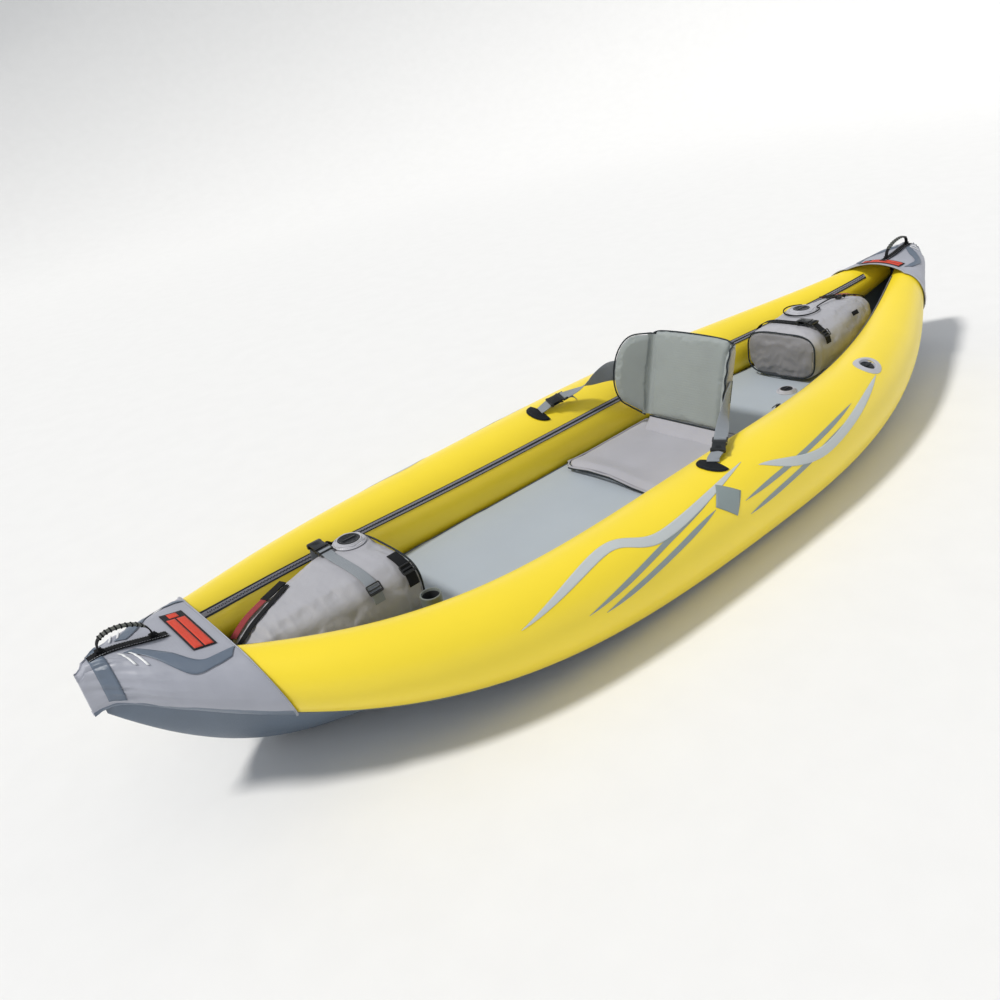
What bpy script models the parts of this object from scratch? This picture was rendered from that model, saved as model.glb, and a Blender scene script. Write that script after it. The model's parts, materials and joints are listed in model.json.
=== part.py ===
"""Inflatable solo kayak with a folding backrest, two strapped gear bags and twist or screw-capped valves.

Metres. +X points to the bow, +Y to port, +Z up. The origin is under the middle of the hull, on the ground.
"""
import math

import bmesh
import bpy
from mathutils import Matrix, Vector

# ---------------------------------------------------------------- driving dimensions
HALF_LENGTH = 1.475
HALF_BEAM = 0.445
TUBE_RADIUS = 0.1203
TUBE_LIFT = 0.0045            # the tubes' lowest point above the ground
BOW_TUBE_END = 1.352
STERN_TUBE_END = -1.335
TUBE_SIDES = 16
TUBE_STATIONS = 19
COVER_THICKNESS = 0.0012
BLADDER_GAP = 0.0006
CAP_THICKNESS = 0.0018
CAP_CLEARANCE = 0.0032
SKIN_THICKNESS = 0.0015
FLAT_BELOW = 0.001            # the bottom skin is flat on the ground wherever it would rise less than this
TOUCH = 0.0004                # gap left between pieces that rest on each other

# How each half of the hull narrows and rises towards its end: the lobe offset runs from the middle's
# value to end_offset, the radius loses `shrink` of itself, and the centre rises by `rise`.
BOW_LINES = dict(end_offset=0.020, plan_power=4.7, plan_round=1.8,
                 shrink=0.75, shrink_power=2.2, rise=0.222, rise_power=3.3,
                 nose_height=0.3055, nose_half_height=0.0355)
STERN_LINES = dict(end_offset=0.013, plan_power=2.5, plan_round=1.4,
                   shrink=0.79, shrink_power=2.15, rise=0.19, rise_power=3.0,
                   nose_height=0.262, nose_half_height=0.035)
NOSE_START = 1.36             # beyond this the ends pinch in to an upright edge
NOSE_PINCH = 0.85

KEEL = {1: dict(start=1.10, height=0.27, run=0.37), -1: dict(start=1.00, height=0.22, run=0.47)}
CAP_EDGE = {1: 1.2375, -1: 1.205}      # where the end covers' deck edge lies
CAP_EDGE_SLANT = 0.28
STERN_CROWN = 0.022           # how far each deck's free edge is arched
BOW_CROWN = 0.002

ZIPPER_ANGLE = -54.3          # degrees from the tube's top, negative towards the cockpit
ZIPPER_SPAN = (-1.24, 1.26)
ZIPPER_WIDTH = 0.012
ZIPPER_THICKNESS = 0.0016
ZIPPER_LIFT = 0.0008
SLIDER = (0.018, 0.011, 0.0032)
SLIDER_LIFT = 0.0064
SLIDER_X = -0.30

FLOOR_TOP = 0.105
FLOOR_SPAN = (-1.04, 1.02)
SEAT_PAD = dict(x=(-0.235, 0.160), half_width=0.185, thickness=0.020, corner=0.05)

BACK_HINGE = Vector((-0.160, 0.0, 0.150))
BACK_LEAN = 14.0
BACK_HALF_WIDTH = 0.127
BACK_HEIGHT = 0.245
BACK_THICKNESS = 0.026
WING_LENGTH = 0.100
WING_THICKNESS = 0.018
WING_TURN = {1: 62.0, -1: 46.0}        # how far each wing is folded forward
WING_MIDDLE = 0.130           # height of the wings' tips above the hinge, along the backrest

VALVE_X = -0.546
VALVE_ANGLE = 19.7
VALVE_POCKET_RADIUS = 0.0245
VALVE_POCKET_DEPTH = 0.034

# The two patches don't sit quite alike on their tubes
PATCH_X = {1: 0.145, -1: 0.110}
PATCH_ANGLE = {1: 2.0, -1: -16.0}     # degrees from each tube's top, negative towards the cockpit
ANCHOR_SETBACK = 0.012        # from a patch's middle back to where its strap leaves it
PATCH_RADIUS = 0.041
PATCH_THICKNESS = 0.0016
PATCH_LIFT = 0.0026
STRAP_ANCHOR_LIFT = 0.014     # where a seat strap leaves its patch, above the tube
WEBBING = 0.0016
SEAT_STRAP_WIDTH = 0.032
SEAT_STRAP_GAP = 0.0055       # between a buckle's plug and the strap's own solid
BUCKLE_SOCKET = (0.040, 0.036, 0.0105)
SOCKET_START = 0.018          # from the strap's anchor to the buckle
SOCKET_BACK = 0.003           # how far the socket reaches back past the buckle's origin
PLUG_REACH = 0.016            # how far the plug stands out of its socket, and its prong goes in

# Each bag is a row of sections: x, starboard side, port side, bottom, top
BOW_BAG = [(0.815, -0.178, 0.080, 0.112, 0.256), (0.835, -0.180, 0.088, 0.107, 0.262),
           (0.950, -0.166, 0.088, 0.107, 0.266), (1.050, -0.130, 0.078, 0.110, 0.262),
           (1.150, -0.090, 0.060, 0.120, 0.252), (1.205, -0.062, 0.046, 0.150, 0.232)]
STERN_BAG = [(-0.640, -0.128, 0.112, 0.112, 0.258), (-0.665, -0.130, 0.116, 0.107, 0.264),
             (-0.800, -0.124, 0.118, 0.107, 0.275), (-0.950, -0.094, 0.092, 0.110, 0.268),
             (-1.060, -0.060, 0.060, 0.125, 0.250), (-1.110, -0.036, 0.036, 0.150, 0.225)]
BAG_SIDES = 16
BOW_STRAP_X = 0.932
STERN_STRAP_X = -0.708
BUCKLE_Y = {1: -0.155, -1: 0.020}
BUCKLE_LIFT = 0.009
STRAP_WIDTH = 0.025
STRAP_LIFT = 0.0065           # a strap bridges the bag's facets
TETHER_WIDTH = 0.016
TETHER_LIFT = 0.0045
# A twist valve is x, y, flange radius and cap radius
BOW_VALVE = (0.872, -0.105, 0.038, 0.025)
STERN_VALVE = (-0.800, -0.030, 0.045, 0.025)

BOW_REAR_STRAP_X = 0.846
# Each tether runs from under its deck's edge onto its bag, in the plane of the bag's top
BOW_TETHER = [(1.200, -0.030), (1.150, -0.050), (1.050, -0.085)]
STERN_TETHER = [(-1.105, -0.012), (-1.060, -0.025), (-0.950, -0.050)]
BUNGEE_TAIL = [(-0.985, 0.010), (-0.930, -0.004)]
BUNGEE_RADIUS = 0.002
BUNGEE_LOOP = 0.054           # radius of its turn round the stern bag's valve
TAIL_LIFT = 0.0105            # the tail runs through the cord lock
LOOP_LIFT = 0.0062
FLOOR_VALVE = (-0.570, 0.060, 0.030, 0.018)
DRAIN = (-1.085, 0.0)
DRAIN_RADIUS = 0.0100
ROD_HOLDER = Vector((0.845, 0.142, 0.110))
ROD_HOLDER_SIZE = dict(outer=0.0225, bore=0.0190, height=0.098)
RIB_SPAN = {1: (1.15, 1.43), -1: (1.12, 1.43)}
RIB_RADIUS = 0.004
RIB_LIFT = 0.016              # the ribs' centre line above the bottom skin
FIN_ROOT = (-1.19, -1.34)
FIN_BLADE = [(-1.352, 0.075), (-1.348, 0.046), (-1.330, 0.024), (-1.300, 0.014), (-1.262, 0.012)]
FIN_THICKNESS = 0.006
FIN_GAP = 0.0035
HANDLES = {1: dict(feet=(1.335, 1.425), strip=(1.312, 1.447)),
           -1: dict(feet=(-1.272, -1.408), strip=(-1.245, -1.432))}
HANDLE_RISE = 0.0327
HANDLE_WIDTH = 0.013
HANDLE_THICKNESS = 0.004
STRIP_WIDTH = 0.022
STRIP_THICKNESS = 0.0018
STRIP_LIFT = TOUCH + 0.0022   # the base strip bridges the deck facets
FOOT_LIFT = 0.0078            # a handle foot above the underside of its strip, so that it can swing

COLOURS = {
    "hull_yellow": ((0.95, 0.78, 0.08), 0.38, 0.0),
    "bladder_clear": ((0.75, 0.76, 0.72), 0.45, 0.0),
    "cap_grey": ((0.42, 0.44, 0.52), 0.5, 0.0),
    "bottom_grey": ((0.13, 0.17, 0.22), 0.5, 0.0),
    "floor_grey": ((0.45, 0.53, 0.60), 0.55, 0.0),
    "seat_grey": ((0.42, 0.43, 0.51), 0.8, 0.0),
    "back_grey": ((0.29, 0.34, 0.36), 0.75, 0.0),
    "bag_grey": ((0.44, 0.45, 0.52), 0.7, 0.0),
    "webbing_black": ((0.02, 0.02, 0.025), 0.8, 0.0),
    "webbing_grey": ((0.36, 0.38, 0.42), 0.8, 0.0),
    "webbing_red": ((0.30, 0.012, 0.03), 0.8, 0.0),
    "buckle_black": ((0.015, 0.015, 0.018), 0.35, 0.0),
    "valve_grey": ((0.55, 0.57, 0.62), 0.4, 0.0),
    "valve_black": ((0.015, 0.015, 0.018), 0.4, 0.0),
    "zipper_grey": ((0.30, 0.32, 0.36), 0.6, 0.0),
    "rib_metal": ((0.75, 0.76, 0.78), 0.35, 1.0),
    "pipe_grey": ((0.35, 0.38, 0.39), 0.5, 0.0),
}


# ---------------------------------------------------------------- scene helpers
def clear_scene():
    for obj in list(bpy.data.objects):
        bpy.data.objects.remove(obj, do_unlink=True)


def make_collection(name):
    group = bpy.data.collections.new(name)
    bpy.context.scene.collection.children.link(group)
    return group


def material(name):
    if name in bpy.data.materials:
        return bpy.data.materials[name]
    colour, roughness, metallic = COLOURS[name]
    made = bpy.data.materials.new(name)
    made.use_nodes = True
    shader = made.node_tree.nodes["Principled BSDF"]
    shader.inputs["Base Color"].default_value = (*colour, 1.0)
    shader.inputs["Roughness"].default_value = roughness
    shader.inputs["Metallic"].default_value = metallic
    return made


def place(name, data, finish, matrix=None, group=None):
    obj = bpy.data.objects.new(name, data)
    (group or PARTS).objects.link(obj)
    data.materials.append(material(finish))
    if matrix is not None:
        obj.matrix_world = matrix
    return obj


def make_pivot(name, matrix):
    """An empty on a joint's axis, which carries the pieces that turn with it."""
    pivot = bpy.data.objects.new(name, None)
    PARTS.objects.link(pivot)
    pivot.matrix_basis = matrix
    return pivot


def from_bmesh(name, bm, finish, matrix=None, group=None):
    mesh = bpy.data.meshes.new(name)
    bm.to_mesh(mesh)
    bm.free()
    mesh.shade_smooth()
    mesh.set_sharp_from_angle(angle=math.radians(40))
    return place(name, mesh, finish, matrix, group)


def frame_matrix(origin, along, up):
    """Local X along, local Z as near to up as it can be."""
    x = Vector(along).normalized()
    y = Vector(up).cross(x).normalized()
    z = x.cross(y)
    turn = Matrix((x, y, z)).transposed().to_4x4()
    return Matrix.Translation(origin) @ turn


def facing_matrix(origin, normal, along=(1.0, 0.0, 0.0)):
    """Local Z on the normal."""
    z = Vector(normal).normalized()
    y = z.cross(Vector(along)).normalized()
    x = y.cross(z)
    turn = Matrix((x, y, z)).transposed().to_4x4()
    return Matrix.Translation(origin) @ turn


def cut(target, cutter):
    cutter.hide_render = True
    cutter.display_type = "WIRE"
    step = target.modifiers.new(cutter.name, "BOOLEAN")
    step.operation = "DIFFERENCE"
    step.object = cutter


def bevel(obj, width):
    step = obj.modifiers.new("rounded edges", "BEVEL")
    step.width = width
    step.segments = 2
    step.limit_method = "ANGLE"
    step.angle_limit = math.radians(30)


# ---------------------------------------------------------------- shapes
def add_strips(bm, rows, ring):
    for lower, upper in zip(rows, rows[1:]):
        count = len(lower)
        for i in range(count if ring else count - 1):
            j = (i + 1) % count
            bm.faces.new((lower[i], lower[j], upper[j], upper[i]))


def loft(name, rings, finish):
    """A closed solid through rings of points."""
    bm = bmesh.new()
    rows = [[bm.verts.new(p) for p in ring] for ring in rings]
    add_strips(bm, rows, ring=True)
    for end in (rows[0], rows[-1]):
        bm.faces.new(end)
    bmesh.ops.recalc_face_normals(bm, faces=bm.faces)
    return from_bmesh(name, bm, finish)


def sheet(name, rows, finish, thickness, inside, ring=False, closed_end=False):
    """A skin through rows of points, thickened towards the point `inside`."""
    bm = bmesh.new()
    grid = [[bm.verts.new(p) for p in row] for row in rows]
    add_strips(bm, grid, ring)
    if closed_end:
        last = grid[-1]
        for i in range(len(last) // 2 - 1):
            bm.faces.new((last[i], last[i + 1], last[-2 - i], last[-1 - i]))
        middle = len(last) // 2
        bm.faces.new((last[middle - 1], last[middle], last[middle + 1]))
    bmesh.ops.recalc_face_normals(bm, faces=bm.faces)
    first = bm.faces[:][0]
    if first.normal.dot(first.calc_center_median() - Vector(inside)) < 0:
        bmesh.ops.reverse_faces(bm, faces=bm.faces)
    obj = from_bmesh(name, bm, finish)
    step = obj.modifiers.new("thickness", "SOLIDIFY")
    step.thickness = thickness
    step.offset = -1.0
    return obj


def band(name, path, ups, width, thickness, finish):
    """A flat strap along a path; its underside lies on the path, and ups point out of the strap's face."""
    rings = []
    for i, point in enumerate(path):
        ahead = path[min(i + 1, len(path) - 1)] - path[max(i - 1, 0)]
        across = ahead.cross(ups[i]).normalized() * (width / 2)
        up = across.cross(ahead).normalized()
        if up.dot(ups[i]) < 0:
            up = -up
        rise = up * thickness
        rings.append([point - across, point + across, point + across + rise, point - across + rise])
    return loft(name, rings, finish)


def turned(name, profile, finish, matrix, segments=20, group=None):
    """A profile of (radius, height) turned about local Z. It runs down the outer side, top to bottom."""
    mesh = bpy.data.meshes.new(name)
    closed = profile[0][0] > 0
    edges = [(i, i + 1) for i in range(len(profile) - 1)]
    if closed:
        edges.append((len(profile) - 1, 0))
    mesh.from_pydata([(r, 0.0, z) for r, z in profile], edges, [])
    obj = place(name, mesh, finish, matrix, group)
    step = obj.modifiers.new("turn", "SCREW")
    step.steps = segments
    step.render_steps = segments
    step.use_merge_vertices = True
    step.merge_threshold = 0.00005
    step.use_smooth_shade = True
    return obj


def plate(name, outline, thickness, finish, matrix, edge=0.0):
    """A flat outline in local XY, thickened evenly about local Z."""
    curve = bpy.data.curves.new(name, "CURVE")
    curve.dimensions = "2D"
    curve.fill_mode = "BOTH"
    curve.extrude = thickness / 2
    spline = curve.splines.new("POLY")
    spline.points.add(len(outline) - 1)
    for point, (x, y) in zip(spline.points, outline):
        point.co = (x, y, 0.0, 1.0)
    spline.use_cyclic_u = True
    obj = place(name, curve, finish, matrix)
    if edge:
        weld = obj.modifiers.new("weld", "WELD")
        weld.merge_threshold = 0.0001
        bevel(obj, edge)
    return obj


def rod(name, points, radius, finish):
    """A round rod or cord along a line of points."""
    curve = bpy.data.curves.new(name, "CURVE")
    curve.dimensions = "3D"
    curve.bevel_depth = radius
    curve.bevel_resolution = 2
    curve.use_fill_caps = True
    spline = curve.splines.new("POLY")
    spline.points.add(len(points) - 1)
    for point, co in zip(spline.points, points):
        point.co = (*co, 1.0)
    return place(name, curve, finish)


def rounded_box(name, size, finish, matrix, edge):
    bm = bmesh.new()
    bmesh.ops.create_cube(bm, size=1.0)
    bmesh.ops.scale(bm, vec=size, verts=bm.verts)
    obj = from_bmesh(name, bm, finish, matrix)
    bevel(obj, edge)
    return obj


def box_cutter(name, size, matrix):
    bm = bmesh.new()
    bmesh.ops.create_cube(bm, size=1.0)
    bmesh.ops.scale(bm, vec=size, verts=bm.verts)
    return from_bmesh(name, bm, "buckle_black", matrix, CUTTERS)


def rounded_rectangle(x0, x1, y0, y1, corner, steps=4):
    points = []
    corners = [(x1 - corner, y1 - corner, 0), (x0 + corner, y1 - corner, 90),
               (x0 + corner, y0 + corner, 180), (x1 - corner, y0 + corner, 270)]
    for cx, cy, start in corners:
        for i in range(steps + 1):
            angle = math.radians(start + 90 * i / steps)
            points.append((cx + corner * math.cos(angle), cy + corner * math.sin(angle)))
    return points


# ---------------------------------------------------------------- hull lines
def tube_centre(x):
    """Lobe offset from the centreline, height of its centre and its radius at x."""
    lines = BOW_LINES if x > 0 else STERN_LINES
    t = min(abs(x) / HALF_LENGTH, 1.0)
    middle = HALF_BEAM - TUBE_RADIUS
    plan = (1 - t ** lines["plan_power"]) ** lines["plan_round"]
    offset = lines["end_offset"] + (middle - lines["end_offset"]) * plan
    height = TUBE_RADIUS + TUBE_LIFT + lines["rise"] * t ** lines["rise_power"]
    radius = TUBE_RADIUS * (1 - lines["shrink"] * t ** lines["shrink_power"])
    return offset, height, radius


def tube_frame(side, x):
    """Centre, forward, upward and outboard directions of one tube at x."""
    step = 0.004
    y, z, radius = tube_centre(x)
    ya, za, _ = tube_centre(x - step)
    yb, zb, _ = tube_centre(x + step)
    forward = Vector((2 * step, side * (yb - ya), zb - za)).normalized()
    upward = (Vector((0, 0, 1)) - forward * forward.z).normalized()
    outboard = upward.cross(forward) * side
    return Vector((x, side * y, z)), forward, upward, outboard, radius


def on_tube(side, x, degrees, lift=0.0):
    """A point on a tube, `degrees` from its top towards the outboard side."""
    centre, _, upward, outboard, radius = tube_frame(side, x)
    angle = math.radians(degrees)
    return centre + (upward * math.cos(angle) + outboard * math.sin(angle)) * (radius + lift)


def tube_normal(side, x, degrees):
    _, _, upward, outboard, _ = tube_frame(side, x)
    angle = math.radians(degrees)
    return upward * math.cos(angle) + outboard * math.sin(angle)


def tube_stations():
    middle = (BOW_TUBE_END + STERN_TUBE_END) / 2
    half = (BOW_TUBE_END - STERN_TUBE_END) / 2
    last = TUBE_STATIONS - 1
    return [middle - half * math.cos(math.pi * i / last) for i in range(TUBE_STATIONS)]


def tube_ring(side, x, lift, scale=1.0):
    centre, _, upward, outboard, radius = tube_frame(side, x)
    ring = []
    for i in range(TUBE_SIDES):
        angle = 2 * math.pi * i / TUBE_SIDES
        outward = upward * math.cos(angle) + outboard * math.sin(angle)
        ring.append(centre + outward * (radius + lift) * scale)
    return ring


def lobe_point(side, x, degrees, lift=0.0):
    """Where a tube's outline crosses the plane at x, pinched in towards the nose."""
    at = x
    for _ in range(6):
        at += x - on_tube(side, at, degrees, lift).x
    point = on_tube(side, at, degrees, lift)
    if abs(x) > NOSE_START:
        lines = BOW_LINES if x > 0 else STERN_LINES
        _, height, radius = tube_centre(x)
        s = ((abs(x) - NOSE_START) / (HALF_LENGTH - NOSE_START)) ** 2
        squeeze = 1 + (lines["nose_half_height"] / radius - 1) * s
        level = height + (lines["nose_height"] - height) * s
        point = Vector((x, point.y * (1 - NOSE_PINCH * s), level + (point.z - height) * squeeze))
    return Vector((x, point.y, point.z))


def keel_height(x):
    line = KEEL[1 if x > 0 else -1]
    beyond = max(abs(x) - line["start"], 0.0)
    return line["height"] * (beyond / line["run"]) ** 2


def crown(x):
    """How far the stern deck is arched above its edges; the bow deck is nearly flat."""
    end = 1 if x > 0 else -1
    share = min(max((abs(x) - CAP_EDGE[end]) / (HALF_LENGTH - CAP_EDGE[end]), 0.0), 1.0)
    return (STERN_CROWN if end < 0 else BOW_CROWN) * (1 - share) ** 3


def deck_height(x):
    return lobe_point(1, x, 0, CAP_CLEARANCE + CAP_THICKNESS).z + crown(x)


# ---------------------------------------------------------------- hull
def build_tubes():
    """An airtight bladder inside a fabric cover on each side, both holed for the inflation valve."""
    stations = tube_stations()
    for side, word in ((1, "port"), (-1, "starboard")):
        inner = -COVER_THICKNESS - BLADDER_GAP
        rings = [tube_ring(side, x, inner) for x in stations]
        rings[0] = tube_ring(side, stations[0], inner, 0.6)
        rings[-1] = tube_ring(side, stations[-1], inner, 0.6)
        bladder = loft(f"{word}_air_bladder", rings, "bladder_clear")
        cover_rings = [tube_ring(side, x, 0.0) for x in stations]
        inside = tube_frame(side, stations[0])[0]
        cover = sheet(f"{word}_tube_cover", cover_rings, "hull_yellow", COVER_THICKNESS, inside, ring=True)
        normal = tube_normal(side, VALVE_X, VALVE_ANGLE)
        mouth = facing_matrix(on_tube(side, VALVE_X, VALVE_ANGLE), normal)
        pocket = [(0, 0.010), (VALVE_POCKET_RADIUS, 0.010),
                  (VALVE_POCKET_RADIUS, -VALVE_POCKET_DEPTH), (0, -VALVE_POCKET_DEPTH)]
        cutter = turned(f"{word}_valve_pocket", pocket, "valve_black", mouth, 20, CUTTERS)
        cut(bladder, cutter)
        cut(cover, cutter)


def build_zippers():
    """The zipper that each bladder goes in through, along the tube's inboard face."""
    start, end = ZIPPER_SPAN
    stations = [start] + [x for x in tube_stations() if start + 0.02 < x < end - 0.02] + [end]
    for side, word in ((1, "port"), (-1, "starboard")):
        path = [on_tube(side, x, ZIPPER_ANGLE, ZIPPER_LIFT) for x in stations]
        ups = [tube_normal(side, x, ZIPPER_ANGLE) for x in stations]
        band(f"{word}_zipper_tape", path, ups, ZIPPER_WIDTH, ZIPPER_THICKNESS, "zipper_grey")
        normal = tube_normal(side, SLIDER_X, ZIPPER_ANGLE)
        forward = tube_frame(side, SLIDER_X)[1]
        seat = on_tube(side, SLIDER_X, ZIPPER_ANGLE, SLIDER_LIFT)
        rounded_box(f"{word}_zipper_slider", SLIDER, "buckle_black",
                    frame_matrix(seat, forward, normal), 0.001)


def build_cap(name, end):
    """An end cover: a skin over both lobes and the deck, open underneath and towards the middle."""
    angles = [150, 128, 106, 84, 62, 42, 22, 0]
    steps = 8
    lift = CAP_CLEARANCE + CAP_THICKNESS
    edge = CAP_EDGE[end]
    rows = []
    for i in range(steps + 1):
        share = i / steps
        row = []
        for side in (1, -1):
            order = angles if side == 1 else angles[::-1]
            for degrees in order:
                seam = lobe_point(side, end * edge, degrees, lift)
                start = edge - CAP_EDGE_SLANT * max(deck_height(end * edge) - seam.z, 0.0)
                x = end * (start + (HALF_LENGTH - start) * share)
                point = lobe_point(side, x, degrees, lift)
                row.append(point)
            if side == 1:
                x = end * (edge + (HALF_LENGTH - edge) * share)
                row.append(Vector((x, 0.0, deck_height(x))))
        rows.append(row)
    inside = (end * (edge + 0.05), 0.0, rows[0][0].z + 0.02)
    return sheet(name, rows, "cap_grey", CAP_THICKNESS, inside, closed_end=True)


def skin_point(x, share, lift=0.0):
    """The bottom skin's outer face, share running from 0 at the keel to 1 under the tube."""
    under_tube = lobe_point(1, x, 180, CAP_CLEARANCE + SKIN_THICKNESS - TOUCH)
    tube_bottom = under_tube.z if under_tube.z > FLAT_BELOW else 0.0
    keel = min(keel_height(x), tube_bottom)
    return Vector((x, under_tube.y * share, keel + (tube_bottom - keel) * share ** 2 + lift))


def build_bottom_skin():
    reach = CAP_CLEARANCE + SKIN_THICKNESS - TOUCH
    xs = [-1.455, -1.40, -1.32, -1.22, -1.12, -1.0, -0.82, -0.6, -0.4, -0.2,
          0.2, 0.4, 0.62, 0.85, 1.02, 1.14, 1.24, 1.33, 1.40, 1.455]
    rows = []
    for x in xs:
        half = [lobe_point(1, x, 158, reach), lobe_point(1, x, 169, reach)]
        half += [skin_point(x, share) for share in (1.0, 0.75, 0.5, 0.25)]
        mirrored = [Vector((p.x, -p.y, p.z)) for p in reversed(half)]
        row = half + [skin_point(x, 0.0)] + mirrored
        rows.append([Vector((p.x, p.y, p.z if p.z > FLAT_BELOW else 0.0)) for p in row])
    sheet("bottom_skin", rows, "bottom_grey", SKIN_THICKNESS, (-1.4, 0.0, 1.0))


def floor_half_width(x):
    """As wide as the tubes leave at the floor's top, and where the bottom skin lies well below it."""
    wall = [lobe_point(1, x, degrees) for degrees in range(-180, -80, 6)]
    between_tubes = min([p.y for p in wall if p.z <= FLOOR_TOP] or [wall[0].y])
    keel, tube_bottom = skin_point(x, 0.0).z, skin_point(x, 1.0).z
    share = math.sqrt((FLOOR_TOP - 0.055 - keel) / max(tube_bottom - keel, 0.02))
    return min(between_tubes, wall[0].y * min(share, 0.92)) - 0.006


def build_floor():
    """An inflated floor between the tubes: flat on top, following the bottom skin underneath."""
    first, last = FLOOR_SPAN
    rings = []
    for i in range(11):
        x = first + (last - first) * i / 10
        half = floor_half_width(x)
        y = skin_point(x, 1.0).y
        end = 0.65 if i in (0, 10) else 1.0
        top = FLOOR_TOP - (0.03 if end < 1 else 0.0)
        edge = half * 0.96 / y
        underside = [skin_point(x, s * edge, SKIN_THICKNESS + 0.010) for s in (1, 0.5, 0, -0.5, -1)]
        side_bottom = min(underside[0].z + 0.02, top - 0.02)
        row = [Vector((x, half, side_bottom)), Vector((x, half, top - 0.012)),
               Vector((x, half * 0.94, top)), Vector((x, half * 0.45, top)),
               Vector((x, -half * 0.45, top)), Vector((x, -half * 0.94, top)),
               Vector((x, -half, top - 0.012)), Vector((x, -half, side_bottom))]
        rings.append(row + underside[::-1])
    loft("floor_panel", rings, "floor_grey")


def build_ribs_and_fin():
    """A bent tube inside each end along the keel, and the fin that slides onto the stern's keel."""
    for end, name in ((1, "bow_keel_rib"), (-1, "stern_keel_rib")):
        x0, x1 = RIB_SPAN[end]
        points = []
        for i in range(9):
            x = end * (x0 + (x1 - x0) * i / 8)
            points.append(skin_point(x, 0.0, SKIN_THICKNESS + RIB_LIFT))
        rod(name, points, RIB_RADIUS, "rib_metal")
    root = [FIN_ROOT[0] + (FIN_ROOT[1] - FIN_ROOT[0]) * i / 5 for i in range(6)]
    outline = [(x, keel_height(x) - FIN_GAP) for x in root] + FIN_BLADE
    upright = Matrix.Rotation(math.radians(90), 4, "X")
    plate("tracking_fin", outline, FIN_THICKNESS, "buckle_black", upright)


# ---------------------------------------------------------------- handles
def build_handles():
    """At each end a strip welded to the deck and an arched grip that swings about the line of its feet."""
    for end, word in ((1, "bow"), (-1, "stern")):
        handle = HANDLES[end]
        first, last = handle["strip"]
        xs = [first + (last - first) * i / 6 for i in range(7)]
        path = [Vector((x, 0.0, deck_height(x) + STRIP_LIFT)) for x in xs]
        ups = [Vector((0, 0, 1))] * len(path)
        band(f"{word}_handle_strip", path, ups, STRIP_WIDTH, STRIP_THICKNESS, "webbing_black")
        feet = [Vector((x, 0.0, deck_height(x) + STRIP_LIFT + FOOT_LIFT)) for x in handle["feet"]]
        middle = (feet[0] + feet[1]) / 2
        along = (feet[1] - feet[0]) / 2
        arch = []
        ups = []
        for i in range(13):
            angle = math.pi * i / 12
            up = Vector((0, 0, 1)) * math.sin(angle) - along.normalized() * math.cos(angle)
            arch.append(Vector((0, 0, HANDLE_RISE * math.sin(angle) ** 0.8)) - along * math.cos(angle))
            ups.append(up)
        loop = band(f"{word}_handle_loop", arch, ups, HANDLE_WIDTH, HANDLE_THICKNESS, "webbing_black")
        loop.location = middle


# ---------------------------------------------------------------- seat
def build_seat_pad():
    pad = SEAT_PAD
    x0, x1 = pad["x"]
    half = pad["half_width"]
    outline = rounded_rectangle(x0, x1, -half, half, pad["corner"], 3)
    level = FLOOR_TOP + TOUCH + pad["thickness"] / 2
    plate("seat_pad", outline, pad["thickness"], "seat_grey", Matrix.Translation((0, 0, level)), 0.005)


def back_matrix():
    """Local X runs to port, local Y up the backrest, local Z out of its front face."""
    lean = math.radians(BACK_LEAN)
    up = Vector((-math.sin(lean), 0, math.cos(lean)))
    port = Vector((0, 1, 0))
    turn = Matrix((port, up, port.cross(up))).transposed().to_4x4()
    return Matrix.Translation(BACK_HINGE) @ turn


def wing_outline():
    """From the fold at x=0 outwards: a rounded ear that narrows towards its tip."""
    points = [(0.0, 0.004), (0.0, BACK_HEIGHT - 0.006)]
    for i in range(9):
        angle = math.radians(80 - 140 * i / 8)
        reach = WING_LENGTH * (0.30 + 0.70 * math.cos(angle) ** 0.8)
        points.append((reach, WING_MIDDLE + 0.105 * math.sin(angle)))
    points.append((WING_LENGTH * 0.45, 0.026))
    return points


def crease_matrix(side):
    """The line that a wing folds about, along local Y."""
    offset = (side * (BACK_HALF_WIDTH + 0.004), 0, (WING_THICKNESS - BACK_THICKNESS) / 2)
    return back_matrix() @ Matrix.Translation(offset)


def wing_fold(side):
    """A wing's place in its crease's frame."""
    turn = math.radians(WING_TURN[side])
    return Matrix.Rotation(-side * turn, 4, "Y") @ Matrix.Translation((side * 0.012, 0, 0))


def wing_matrix(side):
    return crease_matrix(side) @ wing_fold(side)


def build_backrest():
    """A padded panel that folds about its foot, with a wing on each side that folds about its crease."""
    half = BACK_HALF_WIDTH
    pivot = make_pivot("backrest_pivot", back_matrix())
    arch = [(half * math.cos(math.radians(a)), BACK_HEIGHT + 0.008 * math.sin(math.radians(a)))
            for a in range(20, 161, 20)]
    outline = [(-half * 0.94, 0.006), (half * 0.94, 0.006), (half, BACK_HEIGHT - 0.008)] + arch
    outline += [(-half, BACK_HEIGHT - 0.008)]
    panel = plate("backrest_panel", outline, BACK_THICKNESS, "back_grey", Matrix.Identity(4), 0.006)
    panel.parent = pivot
    for side, word in ((1, "port"), (-1, "starboard")):
        ear = [(side * x, y) for x, y in wing_outline()]
        crease = make_pivot(f"{word}_wing_crease", back_matrix().inverted() @ crease_matrix(side))
        crease.parent = pivot
        wing = plate(f"{word}_backrest_wing", ear, WING_THICKNESS, "back_grey", wing_fold(side), 0.004)
        wing.parent = crease


def wing_strap_points(side):
    """The seat strap's run round the wing's front edge and along its outer face."""
    outer = -WING_THICKNESS / 2 - 0.0030
    local = [(side * (WING_LENGTH + 0.010), 0.125, outer), (side * WING_LENGTH * 0.55, 0.125, outer)]
    return [wing_matrix(side) @ Vector(point) for point in local]


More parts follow.
